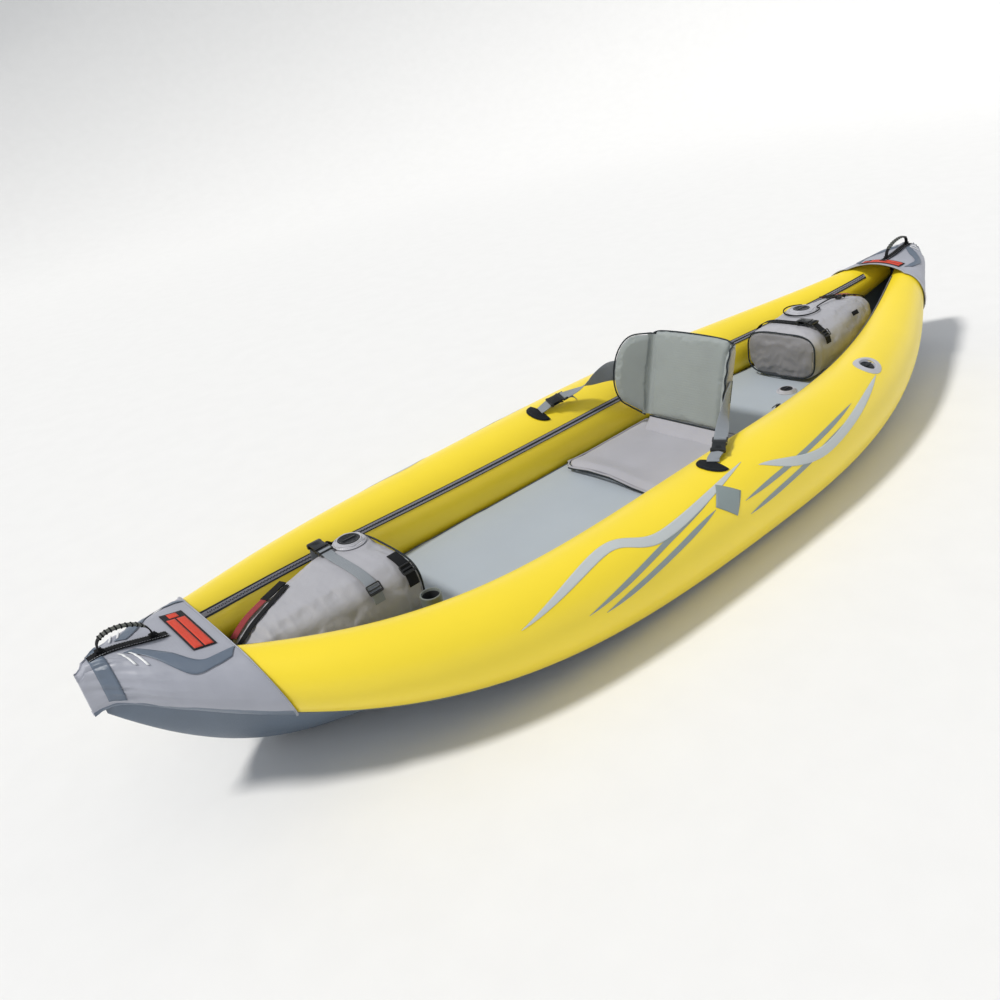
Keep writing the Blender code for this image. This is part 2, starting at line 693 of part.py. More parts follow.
def build_seat_straps():
    """From each tube's patch a buckle and strap run back to the outer face of the backrest's wing."""
    for side, word in ((1, "port"), (-1, "starboard")):
        anchor = on_tube(side, PATCH_X[side] - ANCHOR_SETBACK, PATCH_ANGLE[side], STRAP_ANCHOR_LIFT)
        bend, end = wing_strap_points(side)
        along = (bend - anchor).normalized()
        normal = tube_normal(side, PATCH_X[side], PATCH_ANGLE[side])
        outward = wing_matrix(side).to_3x3() @ Vector((0, 0, -1))
        build_patch(f"{word}_seat_patch", side)
        build_buckle(f"{word}_seat_buckle", anchor + along * SOCKET_START, along, normal)
        plug_end = BUCKLE_SOCKET[0] - SOCKET_BACK + PLUG_REACH
        start = anchor + along * (SOCKET_START + plug_end + SEAT_STRAP_GAP)
        shares = (0.0, 0.2, 0.4, 0.6, 0.8, 1.0)
        path = [start.lerp(bend, share) for share in shares] + [end]
        ups = [normal.lerp(outward, share) for share in shares] + [outward]
        band(f"{word}_seat_strap", path, ups, SEAT_STRAP_WIDTH, WEBBING, "webbing_grey")


def build_patch(name, side):
    """A welded half-round tab that follows the tube, with its flat side towards the seat."""
    _, _, _, _, tube = tube_frame(side, PATCH_X[side])
    rows = []
    for i in range(5):
        along = PATCH_RADIUS * 0.97 * i / 4
        half = math.sqrt(PATCH_RADIUS ** 2 - along ** 2)
        row = []
        for j in range(7):
            turn = math.degrees(half * (j / 3 - 1) / tube)
            row.append(on_tube(side, PATCH_X[side] + along, PATCH_ANGLE[side] + turn, PATCH_LIFT))
        rows.append(row)
    sheet(name, rows, "webbing_black", PATCH_THICKNESS, tube_frame(side, PATCH_X[side])[0])


def build_buckle(name, origin, along, up):
    """A side-release buckle: a socket with a mouth along `along`, and the plug whose prong is in it."""
    frame = frame_matrix(origin, along, up)
    socket_length, width, height = BUCKLE_SOCKET
    socket = rounded_box(f"{name}_socket", (socket_length, width, height), "buckle_black",
                         frame @ Matrix.Translation((socket_length / 2 - SOCKET_BACK, 0, 0)), 0.0012)
    mouth = box_cutter(f"{name}_mouth", (socket_length, width - 0.006, height - 0.0044),
                       frame @ Matrix.Translation((socket_length / 2 + 0.003, 0, 0)))
    cut(socket, mouth)
    front = socket_length - SOCKET_BACK
    shoulder = front + 0.0008
    prong = width - 0.008
    half = [(front - PLUG_REACH, prong / 2 - 0.003), (front - PLUG_REACH + 0.004, prong / 2),
            (shoulder, prong / 2), (shoulder, width / 2), (front + PLUG_REACH, width / 2)]
    outline = half + [(x, -y) for x, y in reversed(half)]
    plate(f"{name}_plug", outline, height - 0.0056, "buckle_black", frame)


# ---------------------------------------------------------------- valves
def build_tube_valves():
    """In each tube a cup with a spring-loaded plunger in its floor, closed by a screw cap."""
    for side, word in ((1, "port"), (-1, "starboard")):
        normal = tube_normal(side, VALVE_X, VALVE_ANGLE)
        seat = facing_matrix(on_tube(side, VALVE_X, VALVE_ANGLE), normal)
        cup = [(0.0238, -0.002), (0.0238, -0.030), (0.0042, -0.030), (0.0042, -0.027),
               (0.0200, -0.027), (0.0200, -0.002)]
        turned(f"{word}_valve_body", cup, "valve_grey", seat)
        plunger = [(0, -0.0135), (0.0065, -0.0135), (0.0065, -0.0165), (0.0032, -0.0165),
                   (0.0032, -0.0285), (0, -0.0285)]
        turned(f"{word}_valve_plunger", plunger, "valve_grey", seat, 14)
        cap = [(0, 0.0040), (0.0060, 0.0040), (0.0072, -0.0020), (0.0182, -0.0028), (0.0192, -0.0042),
               (0.0192, -0.0118), (0, -0.0118)]
        turned(f"{word}_valve_cap", cap, "valve_black", seat)


def build_twist_valve(name, position, normal, ring_radius, cap_radius):
    """A flat flange with an upstand, and the cap that turns inside it."""
    seat = facing_matrix(position, normal)
    bore = cap_radius + 0.0008
    ring = [(bore + 0.003, 0.0085), (ring_radius - 0.006, 0.0050), (ring_radius, 0.0014),
            (ring_radius, 0.0), (bore, 0.0), (bore, 0.0085)]
    turned(f"{name}_body", ring, "valve_grey", seat)
    bm = bmesh.new()
    bmesh.ops.create_cone(bm, cap_ends=True, segments=8, radius1=cap_radius, radius2=cap_radius * 0.94,
                          depth=0.0085)
    from_bmesh(f"{name}_cap", bm, "valve_black", seat @ Matrix.Translation((0, 0, 0.0052)))


# ---------------------------------------------------------------- bags
def bag_section(bag, x):
    ordered = sorted(bag)
    for low, high in zip(ordered, ordered[1:]):
        if low[0] <= x <= high[0]:
            share = (x - low[0]) / (high[0] - low[0])
            return [a + (b - a) * share for a, b in zip(low[1:], high[1:])]
    raise ValueError(f"no bag section at {x}")


def bag_point(bag, x, degrees, lift=0.0):
    """A point on a bag's rounded-square section, degrees from port through the top."""
    starboard, port, bottom, top = bag_section(bag, x)
    angle = math.radians(degrees)
    across, up = math.cos(angle), math.sin(angle)
    power = 0.55
    y = (port + starboard) / 2 + ((port - starboard) / 2 + lift) * math.copysign(abs(across) ** power, across)
    z = (top + bottom) / 2 + ((top - bottom) / 2 + lift) * math.copysign(abs(up) ** power, up)
    return Vector((x, y, z))


def build_bag(name, bag):
    """A closed bag through its sections."""
    rings = [[bag_point(bag, row[0], 360 * i / BAG_SIDES) for i in range(BAG_SIDES)] for row in bag]
    loft(name, rings, "bag_grey")


def bag_strap(name, bag, x, start, stop, finish, steps):
    """A strap that follows the bag's section between two angles."""
    turns = [start + (stop - start) * i / steps for i in range(steps + 1)]
    path = [bag_point(bag, x, a, STRAP_LIFT) for a in turns]
    centre = bag_point(bag, x, 0) * 0.5 + bag_point(bag, x, 180) * 0.5
    ups = [p - centre for p in path]
    band(name, path, ups, STRAP_WIDTH, WEBBING, finish)


def build_bags():
    """A gear bag at each end, with its buckle and its twist valve."""
    build_bag("bow_gear_bag", BOW_BAG)
    build_bag("stern_gear_bag", STERN_BAG)
    buckles = {"bow": bag_top_point(BOW_BAG, BOW_STRAP_X, BUCKLE_Y[1], BUCKLE_LIFT),
               "stern": bag_top_point(STERN_BAG, STERN_STRAP_X, BUCKLE_Y[-1], BUCKLE_LIFT)}
    for word, seat in buckles.items():
        build_buckle(f"{word}_bag_buckle", seat, (0, 1, 0), (0, 0, 1))
    bag_valve("bow_bag_valve", BOW_BAG, BOW_VALVE)
    bag_valve("stern_bag_valve", STERN_BAG, STERN_VALVE)


def bag_valve(name, bag, valve):
    x, y, ring_radius, cap_radius = valve
    slope = (bag_section(bag, x + 0.02)[3] - bag_section(bag, x - 0.02)[3]) / 0.04
    normal = Vector((-slope, 0, 1)).normalized()
    seat = Vector((x, y, bag_section(bag, x)[3])) + normal * 0.0016
    build_twist_valve(name, seat, normal, ring_radius, cap_radius)


def bag_top_point(bag, x, y, lift):
    return Vector((x, y, bag_section(bag, x)[3] + lift))


def build_bag_straps():
    """The webbing on each side of a buckle, a rear strap on the bow bag and the tethers to the deck edges."""
    bag_strap("bow_bag_strap_port", BOW_BAG, BOW_STRAP_X, 100, 12, "webbing_grey", 7)
    bag_strap("bow_bag_strap_starboard", BOW_BAG, BOW_STRAP_X, 152, 171, "webbing_grey", 3)
    bag_strap("bow_bag_rear_strap", BOW_BAG, BOW_REAR_STRAP_X, 74, 8, "webbing_black", 6)
    bag_strap("stern_bag_strap_port", STERN_BAG, STERN_STRAP_X, 55, 8, "webbing_black", 5)
    bag_strap("stern_bag_strap_starboard", STERN_BAG, STERN_STRAP_X, 104, 168, "webbing_black", 5)
    for word, bag, points in (("bow", BOW_BAG, BOW_TETHER), ("stern", STERN_BAG, STERN_TETHER)):
        path = [bag_top_point(bag, x, y, TETHER_LIFT) for x, y in points]
        ups = [Vector((0, 0, 1))] * len(path)
        band(f"{word}_bag_tether", path, ups, TETHER_WIDTH, WEBBING, "webbing_red")


def build_bungee():
    """Elastic cord looped round the stern bag's valve, its tail straight through a cord lock."""
    x, y = STERN_VALVE[:2]
    path = [bag_top_point(STERN_BAG, tail_x, tail_y, TAIL_LIFT) for tail_x, tail_y in BUNGEE_TAIL]
    for i in range(13):
        angle = math.radians(150 - 300 * i / 12)
        loop_x = x + BUNGEE_LOOP * math.cos(angle)
        loop_y = y + BUNGEE_LOOP * math.sin(angle)
        path.append(bag_top_point(STERN_BAG, loop_x, loop_y, LOOP_LIFT))
    rod("stern_bag_bungee", path, BUNGEE_RADIUS, "webbing_black")
    along = (path[0] - path[1]).normalized()
    lock = facing_matrix(path[0].lerp(path[1], 0.45), along, (0, 1, 0))
    sleeve = [(0.0075, 0.009), (0.0075, -0.009), (0.0027, -0.009), (0.0027, 0.009)]
    turned("stern_cord_lock", sleeve, "buckle_black", lock, 14)


def build_small_fittings():
    """The rod holder, the floor's valve and the drain in the bottom skin."""
    outer, inner, height = (ROD_HOLDER_SIZE[key] for key in ("outer", "bore", "height"))
    pipe = [(outer, height), (outer, 0.0), (inner, 0.0), (inner, height)]
    turned("rod_holder_tube", pipe, "pipe_grey", Matrix.Translation(ROD_HOLDER), 20)
    x, y, ring_radius, cap_radius = FLOOR_VALVE
    seat = Vector((x, y, FLOOR_TOP + TOUCH))
    build_twist_valve("floor_valve", seat, Vector((0, 0, 1)), ring_radius, cap_radius)
    x, y = DRAIN
    seat = Matrix.Translation((x, y, 0.0))
    hole = DRAIN_RADIUS + 0.0005
    bore = turned("drain_bore", [(0, 0.02), (hole, 0.02), (hole, -0.02), (0, -0.02)], "rib_metal", seat,
                  16, CUTTERS)
    cut(bpy.data.objects["bottom_skin"], bore)
    plug_top = keel_height(x)
    plug = [(0, plug_top + 0.012), (0.0060, plug_top + 0.012), (0.0060, plug_top + 0.0035),
            (DRAIN_RADIUS, plug_top + 0.0035), (DRAIN_RADIUS, plug_top + TOUCH), (0, plug_top + TOUCH)]
    turned("drain_plug", plug, "buckle_black", seat, 16)


# ---------------------------------------------------------------- build everything
clear_scene()
PARTS = make_collection("inflatable_kayak")
CUTTERS = make_collection("cutters")

build_tubes()
build_zippers()
build_cap("bow_cover", 1)
build_cap("stern_cover", -1)
build_bottom_skin()
build_floor()
build_ribs_and_fin()
build_handles()
build_seat_pad()
build_backrest()
build_seat_straps()
build_tube_valves()
build_bags()
build_bag_straps()
build_bungee()
build_small_fittings()
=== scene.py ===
"""The looks of the inflatable kayak: coated fabric, webbing, padding, valves and moulded fittings.

Metres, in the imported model's frame. +X points to the bow, +Y to port, +Z up.
"""
import functools
import json
import math

import bmesh
import bpy
from mathutils import Matrix, Vector, noise


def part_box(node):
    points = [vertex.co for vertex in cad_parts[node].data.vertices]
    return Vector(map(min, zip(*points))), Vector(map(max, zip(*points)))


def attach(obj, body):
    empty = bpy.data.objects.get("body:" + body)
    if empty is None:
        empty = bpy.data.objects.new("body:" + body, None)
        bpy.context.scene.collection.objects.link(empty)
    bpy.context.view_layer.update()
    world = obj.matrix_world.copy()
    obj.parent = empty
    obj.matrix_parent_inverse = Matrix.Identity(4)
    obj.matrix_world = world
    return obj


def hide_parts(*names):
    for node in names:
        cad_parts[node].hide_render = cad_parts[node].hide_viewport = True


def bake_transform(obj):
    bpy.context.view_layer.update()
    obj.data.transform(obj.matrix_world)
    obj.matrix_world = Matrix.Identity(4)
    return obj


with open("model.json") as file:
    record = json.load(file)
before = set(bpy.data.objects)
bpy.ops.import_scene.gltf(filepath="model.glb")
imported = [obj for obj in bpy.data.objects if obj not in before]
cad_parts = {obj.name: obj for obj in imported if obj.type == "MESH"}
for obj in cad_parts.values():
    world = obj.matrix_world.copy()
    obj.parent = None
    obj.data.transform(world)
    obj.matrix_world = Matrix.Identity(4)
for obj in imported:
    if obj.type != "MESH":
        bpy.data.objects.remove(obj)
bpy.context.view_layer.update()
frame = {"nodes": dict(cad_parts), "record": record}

# ---------------------------------------------------------------- dimensions, as the frame has them
HALF_LENGTH = 1.475
HALF_BEAM = 0.445
TUBE_RADIUS = 0.1203
TUBE_LIFT = 0.0045
BOW_TUBE_END = 1.352
STERN_TUBE_END = -1.335
CAP_THICKNESS = 0.0018
CAP_CLEARANCE = 0.0032
SKIN_THICKNESS = 0.0015
FLAT_BELOW = 0.001
TOUCH = 0.0004
BOW_LINES = dict(end_offset=0.020, plan_power=4.7, plan_round=1.8,
                 shrink=0.75, shrink_power=2.2, rise=0.222, rise_power=3.3,
                 nose_height=0.3055, nose_half_height=0.0355)
STERN_LINES = dict(end_offset=0.013, plan_power=2.5, plan_round=1.4,
                   shrink=0.79, shrink_power=2.15, rise=0.19, rise_power=3.0,
                   nose_height=0.262, nose_half_height=0.035)
NOSE_START = 1.36
NOSE_PINCH = 0.85
KEEL = {1: dict(start=1.10, height=0.27, run=0.37), -1: dict(start=1.00, height=0.22, run=0.47)}
CAP_EDGE = {1: 1.2375, -1: 1.205}
CAP_EDGE_SLANT = 0.28
CROWN = {1: 0.002, -1: 0.022}

ZIPPER_ANGLE = -54.3
ZIPPER_SPAN = (-1.24, 1.26)
ZIPPER_WIDTH = 0.012
FLOOR_TOP = 0.105
FLOOR_SPAN = (-1.04, 1.02)
SEAT_PAD = dict(x=(-0.235, 0.160), half_width=0.185, thickness=0.020, corner=0.05)
BACK_HINGE = Vector((-0.160, 0.0, 0.150))
BACK_LEAN = 14.0
BACK_HALF_WIDTH = 0.127
BACK_HEIGHT = 0.245
BACK_THICKNESS = 0.026
WING_LENGTH = 0.100
WING_THICKNESS = 0.018
WING_TURN = {1: 62.0, -1: 46.0}
WING_MIDDLE = 0.130
WING_OFFSET = 0.012
VALVE_X = -0.546
VALVE_ANGLE = 19.7
POCKET_RADIUS = 0.0242
POCKET_DEPTH = 0.0345
PATCH_X = {1: 0.145, -1: 0.110}
PATCH_ANGLE = {1: 2.0, -1: -16.0}
PATCH_RADIUS = 0.041
ANCHOR_SETBACK = 0.012
STRAP_ANCHOR_LIFT = 0.014
SEAT_STRAP_WIDTH = 0.032
STRAP_FLARE = 1.8
BUCKLE_SOCKET = (0.040, 0.036, 0.0105)
SOCKET_START = 0.018
SOCKET_BACK = 0.003
PLUG_REACH = 0.016
BOW_BAG = [(0.815, -0.178, 0.080, 0.112, 0.256), (0.835, -0.180, 0.088, 0.107, 0.262),
           (0.950, -0.166, 0.088, 0.107, 0.266), (1.050, -0.130, 0.078, 0.110, 0.262),
           (1.150, -0.090, 0.060, 0.120, 0.252), (1.205, -0.062, 0.046, 0.150, 0.232)]
STERN_BAG = [(-0.640, -0.128, 0.112, 0.112, 0.258), (-0.665, -0.130, 0.116, 0.107, 0.264),
             (-0.800, -0.124, 0.118, 0.107, 0.275), (-0.950, -0.094, 0.092, 0.110, 0.268),
             (-1.060, -0.060, 0.060, 0.125, 0.250), (-1.110, -0.036, 0.036, 0.150, 0.225)]
BOW_STRAP_X = 0.932
STERN_STRAP_X = -0.708
BOW_REAR_STRAP_X = 0.846
STRAP_WIDTH = 0.025
STRAP_LIFT = 0.0028
BUCKLE_Y = {1: -0.155, -1: 0.020}
BUCKLE_LIFT = 0.009
WEBBING = 0.0016
BOW_VALVE = (0.872, -0.105, 0.038)
STERN_VALVE = (-0.800, -0.030, 0.045)
FLOOR_VALVE = (-0.570, 0.060, 0.030)
BOW_TETHER = [(1.200, -0.030), (1.150, -0.050), (1.050, -0.085)]
STERN_TETHER = [(-1.105, -0.012), (-1.060, -0.025), (-0.950, -0.050)]
BUNGEE_TAIL = [(-0.985, 0.010), (-0.930, -0.004)]
BUNGEE_RADIUS = 0.002
BUNGEE_LOOP = 0.054
KNOT_SIZE = 0.0016
TAIL_LIFT = 0.0105
LOOP_LIFT = 0.0062
ROD_HOLDER = Vector((0.845, 0.142, 0.110))
HANDLES = {1: dict(feet=(1.335, 1.425), strip=(1.312, 1.447)),
           -1: dict(feet=(-1.272, -1.408), strip=(-1.245, -1.432))}
HANDLE_RISE = 0.0327
HANDLE_WIDTH = 0.013
HANDLE_THICKNESS = 0.004
STRIP_WIDTH = 0.022
STRIP_LIFT = TOUCH + 0.0022
FOOT_LIFT = 0.0078
UP = Vector((0, 0, 1))
SIDES = ((1, "port"), (-1, "starboard"))
ENDS = ((1, "bow"), (-1, "stern"))

# ---------------------------------------------------------------- looks only
FLOOR_LEVEL = -0.0012
MERGE = 0.000001
SHARP_ANGLE = math.radians(35)
INNER_TUBE_INSET = 0.003
PRINT_THICKNESS = 0.0003
TOOTH_PITCH = 0.0046
PIPING_RADIUS = 0.0023
WING_PIPING_RADIUS = 0.0022
STRAP_UP_WING = 0.125
BAG_GATHER = 0.012
BAG_GATHER_HEIGHT = 0.19
CAP_PRINT_THICKNESS = 0.0004
WAVE_SPINE = [(1.385, 0.55), (1.350, 1.02), (1.315, 1.34), (1.275, 1.20), (1.247, 1.05)]
LABELS = {1: (1.258, 1.300, -0.080, 0.088), -1: (-1.262, -1.222, -0.070, 0.070)}
BAG_CAP_RADIUS = 0.025
FLOOR_CAP_RADIUS = 0.018
CAMERA_PLACE = (1.576, 1.440, 1.150)
CAMERA_AIM = Vector((-0.525, -0.718, -0.457))
CAMERA_ROLL = -11.0
CAMERA_LENS = 30.75
SKY_STRENGTH = 0.46
SUN_STRENGTH = 2.5
SUN_SPREAD = 9


# ---------------------------------------------------------------- materials
def node(tree, kind, inputs=(), **settings):
    made = tree.nodes.new(kind)
    for key, value in settings.items():
        setattr(made, key, value)
    for key, value in dict(inputs).items():
        if isinstance(value, bpy.types.NodeSocket):
            tree.links.new(value, made.inputs[key])
        else:
            made.inputs[key].default_value = value
    return made


def mixed(tree, amount, colour, other):
    made = node(tree, "ShaderNodeMix", {"Factor": amount, 6: colour, 7: other}, data_type="RGBA")
    return made.outputs[2]


def remap(tree, value, low, high, start=0.3, stop=0.7):
    made = node(tree, "ShaderNodeMapRange", {"Value": value, "From Min": start, "From Max": stop,
                                             "To Min": low, "To Max": high})
    return made.outputs["Result"]


def bump(tree, height, strength, distance, before=None):
    inputs = {"Height": height, "Strength": strength, "Distance": distance}
    if before:
        inputs["Normal"] = before
    return node(tree, "ShaderNodeBump", inputs).outputs["Normal"]


def weave_height(tree, where, pitch):
    """Threads along all three axes, of which any face shows two."""
    total = None
    for direction in "XYZ":
        wave = node(tree, "ShaderNodeTexWave", {"Vector": where, "Scale": 0.314 / pitch, "Distortion": 0.4,
                                                "Detail": 1.0}, bands_direction=direction)
        value = wave.outputs["Fac"]
        if total is not None:
            value = node(tree, "ShaderNodeMath", {0: total, 1: value}, operation="ADD").outputs[0]
        total = value
    return total


def make_material(name, colour, roughness, metallic=0.0, mottle=0.07, mottle_size=0.10, grain=0.15,
                  grain_size=0.0025, weave=0.0, pitch=0.0016, ribs=0.0, sheen=0.0, coat=0.0, crease=0.0,
                  wear=0.0, specular=0.5):
    """A surface whose colour drifts, with grain, threads, webbing ribs, soft creases and pale worn edges."""
    material = bpy.data.materials.new(name)
    material.use_nodes = True
    tree = material.node_tree
    shader = tree.nodes["Principled BSDF"]
    coordinates = node(tree, "ShaderNodeTexCoord")
    where = coordinates.outputs["Object"]
    drift = node(tree, "ShaderNodeTexNoise", {"Vector": where, "Scale": 1 / mottle_size, "Detail": 5.0})
    fine = node(tree, "ShaderNodeTexNoise", {"Vector": where, "Scale": 1 / grain_size, "Detail": 3.0})
    ramp = node(tree, "ShaderNodeValToRGB", {"Fac": drift.outputs["Fac"]})
    ramp.color_ramp.elements[0].position = 0.30
    ramp.color_ramp.elements[1].position = 0.70
    ramp.color_ramp.elements[0].color = [c * (1 - mottle) for c in colour] + [1]
    ramp.color_ramp.elements[1].color = [min(c * (1 + mottle), 1.0) for c in colour] + [1]
    tint = ramp.outputs["Color"]
    if wear:
        worn = [min(c + 0.16, 1.0) for c in colour] + [1]
        edge = node(tree, "ShaderNodeNewGeometry").outputs["Pointiness"]
        amount = remap(tree, edge, 0.0, wear, 0.52, 0.60)
        tint = mixed(tree, amount, tint, worn)
    if ribs:
        stripe = node(tree, "ShaderNodeTexWave", {"Vector": coordinates.outputs["UV"], "Scale": 0.314 / ribs,
                                                  "Distortion": 0.3}, bands_direction="X")
        dark = [c * 0.62 for c in colour] + [1]
        amount = remap(tree, stripe.outputs["Fac"], 0.75, 0.0, 0.0, 0.8)
        tint = mixed(tree, amount, tint, dark)
    tree.links.new(tint, shader.inputs["Base Color"])
    rough = remap(tree, fine.outputs["Fac"], max(roughness - 0.07, 0.05), min(roughness + 0.07, 1.0))
    tree.links.new(rough, shader.inputs["Roughness"])
    shader.inputs["Metallic"].default_value = metallic
    shader.inputs["Specular IOR Level"].default_value = specular
    if sheen:
        shader.inputs["Sheen Weight"].default_value = sheen
        shader.inputs["Sheen Roughness"].default_value = 0.5
    if coat:
        shader.inputs["Coat Weight"].default_value = coat
        shader.inputs["Coat Roughness"].default_value = 0.22
    normal = bump(tree, fine.outputs["Fac"], grain, 0.0006)
    if crease:
        soft = node(tree, "ShaderNodeTexNoise", {"Vector": where, "Scale": 28.0, "Detail": 4.0,
                                                 "Distortion": 1.2})
        normal = bump(tree, soft.outputs["Fac"], crease, 0.004, normal)
    if weave:
        normal = bump(tree, weave_height(tree, where, pitch), weave, 0.0004, normal)
    if ribs:
        normal = bump(tree, stripe.outputs["Fac"], 0.7, 0.0006, normal)
    tree.links.new(normal, shader.inputs["Normal"])
    return material


# finish: (record's slot, colour, roughness, further qualities)
FINISHES = {
    "hull_yellow": ("hull_yellow", (0.93, 0.72, 0.030), 0.40,
                    dict(mottle=0.03, mottle_size=0.35, grain=0.06, weave=0.05, coat=0.18)),
    "bladder_clear": ("bladder_clear", (0.70, 0.71, 0.68), 0.40, dict(grain=0.1)),
    "cap_grey": ("cap_grey", (0.365, 0.380, 0.440), 0.46,
                 dict(mottle=0.05, grain=0.10, weave=0.16, crease=0.12, coat=0.05)),
    "cap_slate": ("bottom_grey", (0.125, 0.160, 0.215), 0.42, dict(mottle=0.06, weave=0.14, crease=0.12)),
    "bottom_grey": ("bottom_grey", (0.120, 0.155, 0.205), 0.48, dict(mottle=0.08, grain=0.3, weave=0.2)),
    "floor_grey": ("floor_grey", (0.400, 0.450, 0.510), 0.50,
                   dict(mottle=0.03, mottle_size=0.2, weave=0.12, crease=0.05)),
    "seat_grey": ("seat_grey", (0.385, 0.388, 0.440), 0.82, dict(mottle=0.04, weave=0.35, sheen=0.25)),
    "back_grey": ("back_grey", (0.285, 0.320, 0.325), 0.62,
                  dict(mottle=0.05, weave=0.30, sheen=0.20, crease=0.10)),
    "back_lining": ("back_grey", (0.330, 0.315, 0.260), 0.75, dict(mottle=0.06, weave=0.3, sheen=0.2)),
    "piping": ("webbing_black", (0.020, 0.027, 0.034), 0.60, dict(weave=0.2, mottle=0.15, specular=0.25)),
    "bag_grey": ("bag_grey", (0.395, 0.398, 0.435), 0.58,
                 dict(mottle=0.05, weave=0.22, crease=0.30, coat=0.04)),
    # a darker copy of the bag fabric for the bags' blunt end faces: painted shade
    "bag_end_painted_shade": ("bag_grey", (0.215, 0.215, 0.235), 0.62, dict(mottle=0.05, weave=0.25, crease=0.25)),
    "webbing_black": ("webbing_black", (0.009, 0.010, 0.012), 0.75, dict(ribs=0.0022, specular=0.20)),
    "webbing_grey": ("webbing_grey", (0.270, 0.300, 0.335), 0.72, dict(ribs=0.0022, sheen=0.10)),
    "webbing_red": ("webbing_red", (0.300, 0.010, 0.018), 0.65, dict(ribs=0.0022, sheen=0.15)),
    "elastic": ("webbing_black", (0.010, 0.011, 0.013), 0.75, dict(ribs=0.0016, specular=0.20)),
    "handle_rubber": ("webbing_black", (0.085, 0.092, 0.080), 0.60, dict(mottle=0.1, grain=0.3)),
    "buckle_black": ("buckle_black", (0.010, 0.012, 0.015), 0.32,
                     dict(mottle=0.2, grain=0.15, grain_size=0.001, wear=0.12, specular=0.40)),
    "patch_black": ("webbing_black", (0.008, 0.010, 0.013), 0.60,
                    dict(weave=0.4, mottle=0.15, specular=0.20)),
    "valve_grey": ("valve_grey", (0.470, 0.475, 0.520), 0.38, dict(mottle=0.04, grain=0.08)),
    "valve_black": ("valve_black", (0.012, 0.014, 0.018), 0.36, dict(mottle=0.15, wear=0.12, specular=0.35)),
    "zipper_grey": ("zipper_grey", (0.330, 0.330, 0.385), 0.62, dict(ribs=0.0020)),
    "zipper_teeth": ("zipper_grey", (0.030, 0.034, 0.040), 0.36, dict(mottle=0.2)),
    "rib_metal": ("rib_metal", (0.60, 0.61, 0.62), 0.32, dict(metallic=1.0, mottle=0.05)),
    "pipe_grey": ("pipe_grey", (0.150, 0.170, 0.162), 0.40, dict(mottle=0.06, grain=0.12, wear=0.3)),
    # a darker copy of the rod holder's plastic for its bore: painted shade
    "pipe_bore_painted_shade": ("pipe_grey", (0.030, 0.034, 0.038), 0.55, dict(mottle=0.1)),
    "print_light": ("cap_grey", (0.520, 0.560, 0.570), 0.42, dict(mottle=0.03, weave=0.05, coat=0.1)),
    "print_dark": ("bottom_grey", (0.235, 0.285, 0.290), 0.42, dict(mottle=0.03, weave=0.05, coat=0.1)),
    "print_white": ("valve_grey", (0.82, 0.84, 0.86), 0.45, dict(mottle=0.02)),
    "label_black": ("webbing_black", (0.011, 0.012, 0.015), 0.60, dict(weave=0.3, mottle=0.1, specular=0.25)),
    "label_red": ("webbing_red", (0.640, 0.048, 0.018), 0.55, dict(weave=0.3, mottle=0.05)),
    "thread_light": ("cap_grey", (0.50, 0.52, 0.56), 0.7, dict(mottle=0.05)),
}
MATERIALS = {}


def material_for(finish):
    if finish not in MATERIALS:
        _, colour, roughness, qualities = FINISHES[finish]
        MATERIALS[finish] = make_material(finish, colour, roughness, **qualities)
    return MATERIALS[finish]


# ---------------------------------------------------------------- paths and frames
def shift(x, y, z):
    return Matrix.Translation((x, y, z))


def spins(count, offset=0.0):
    """Even turns about local Z."""
    return [Matrix.Rotation(2 * math.pi * (i + offset) / count, 4, "Z") for i in range(count)]


def facing_matrix(position, normal, hint=(1, 0, 0)):
    """Local Z along `normal`, local X as near `hint` as that allows."""
    z = Vector(normal).normalized()
    x = (Vector(hint) - z * Vector(hint).dot(z)).normalized()
    y = z.cross(x)
    return Matrix.Translation(position) @ Matrix((x, y, z)).transposed().to_4x4()


def frame_matrix(origin, along, up):
    """Local X along `along`, local Z as near `up` as that allows."""
    x = Vector(along).normalized()
    z = (Vector(up) - x * Vector(up).dot(x)).normalized()
    return Matrix.Translation(origin) @ Matrix((x, z.cross(x), z)).transposed().to_4x4()


def smooth_path(points, pieces, closed=False):
    """A smooth curve through points of any dimension, `pieces` steps between each two."""
    points = [Vector(p) for p in points]
    count = len(points)
    made = []
    for i in range(count if closed else count - 1):
        if closed:
            a, b, c, d = (points[(i + k) % count] for k in (-1, 0, 1, 2))
        else:
            a, b, c, d = points[max(i - 1, 0)], points[i], points[i + 1], points[min(i + 2, count - 1)]
        for k in range(pieces):
            t = k / pieces
            made.append(0.5 * ((2 * b) + (c - a) * t + (2 * a - 5 * b + 4 * c - d) * t * t
                               + (3 * b - a - 3 * c + d) * t ** 3))
    if not closed:
        made.append(points[-1])
    return made


def edge_path(points, step=0.006):
    """Even points along an open outline, its corners eased."""
    points = [Vector(p) for p in points]
    made = [points[0]]
    for a, b in zip(points, points[1:]):
        count = max(round((b - a).length / step), 1)
        made += [a.lerp(b, i / count) for i in range(1, count + 1)]
    for _ in range(3):
        eased = [(p + q * 2 + r) / 4 for p, q, r in zip(made, made[1:], made[2:])]
        made = [made[0]] + eased + [made[-1]]
    return made


def run_length(points):
    return sum((b - a).length for a, b in zip(points, points[1:]))


def between(a, b, count):
    return [a + (b - a) * i / count for i in range(count + 1)]


def smoothstep(value, low, high):
    share = min(max((value - low) / (high - low), 0.0), 1.0)
    return share * share * (3 - 2 * share)


def strap_section(width, thickness, edge=0.0007):
    """A webbing's section: flat faces, rounded selvedges."""
    w, t = width / 2, thickness / 2
    top = [(-w, 0), (-w + edge * 0.3, t * 0.7), (-w + edge, t)]
    top += [(w * share, t) for share in (-0.5, 0, 0.5)]
    top += [(w - edge, t), (w - edge * 0.3, t * 0.7)]
    return top + [(-a, -b) for a, b in top]


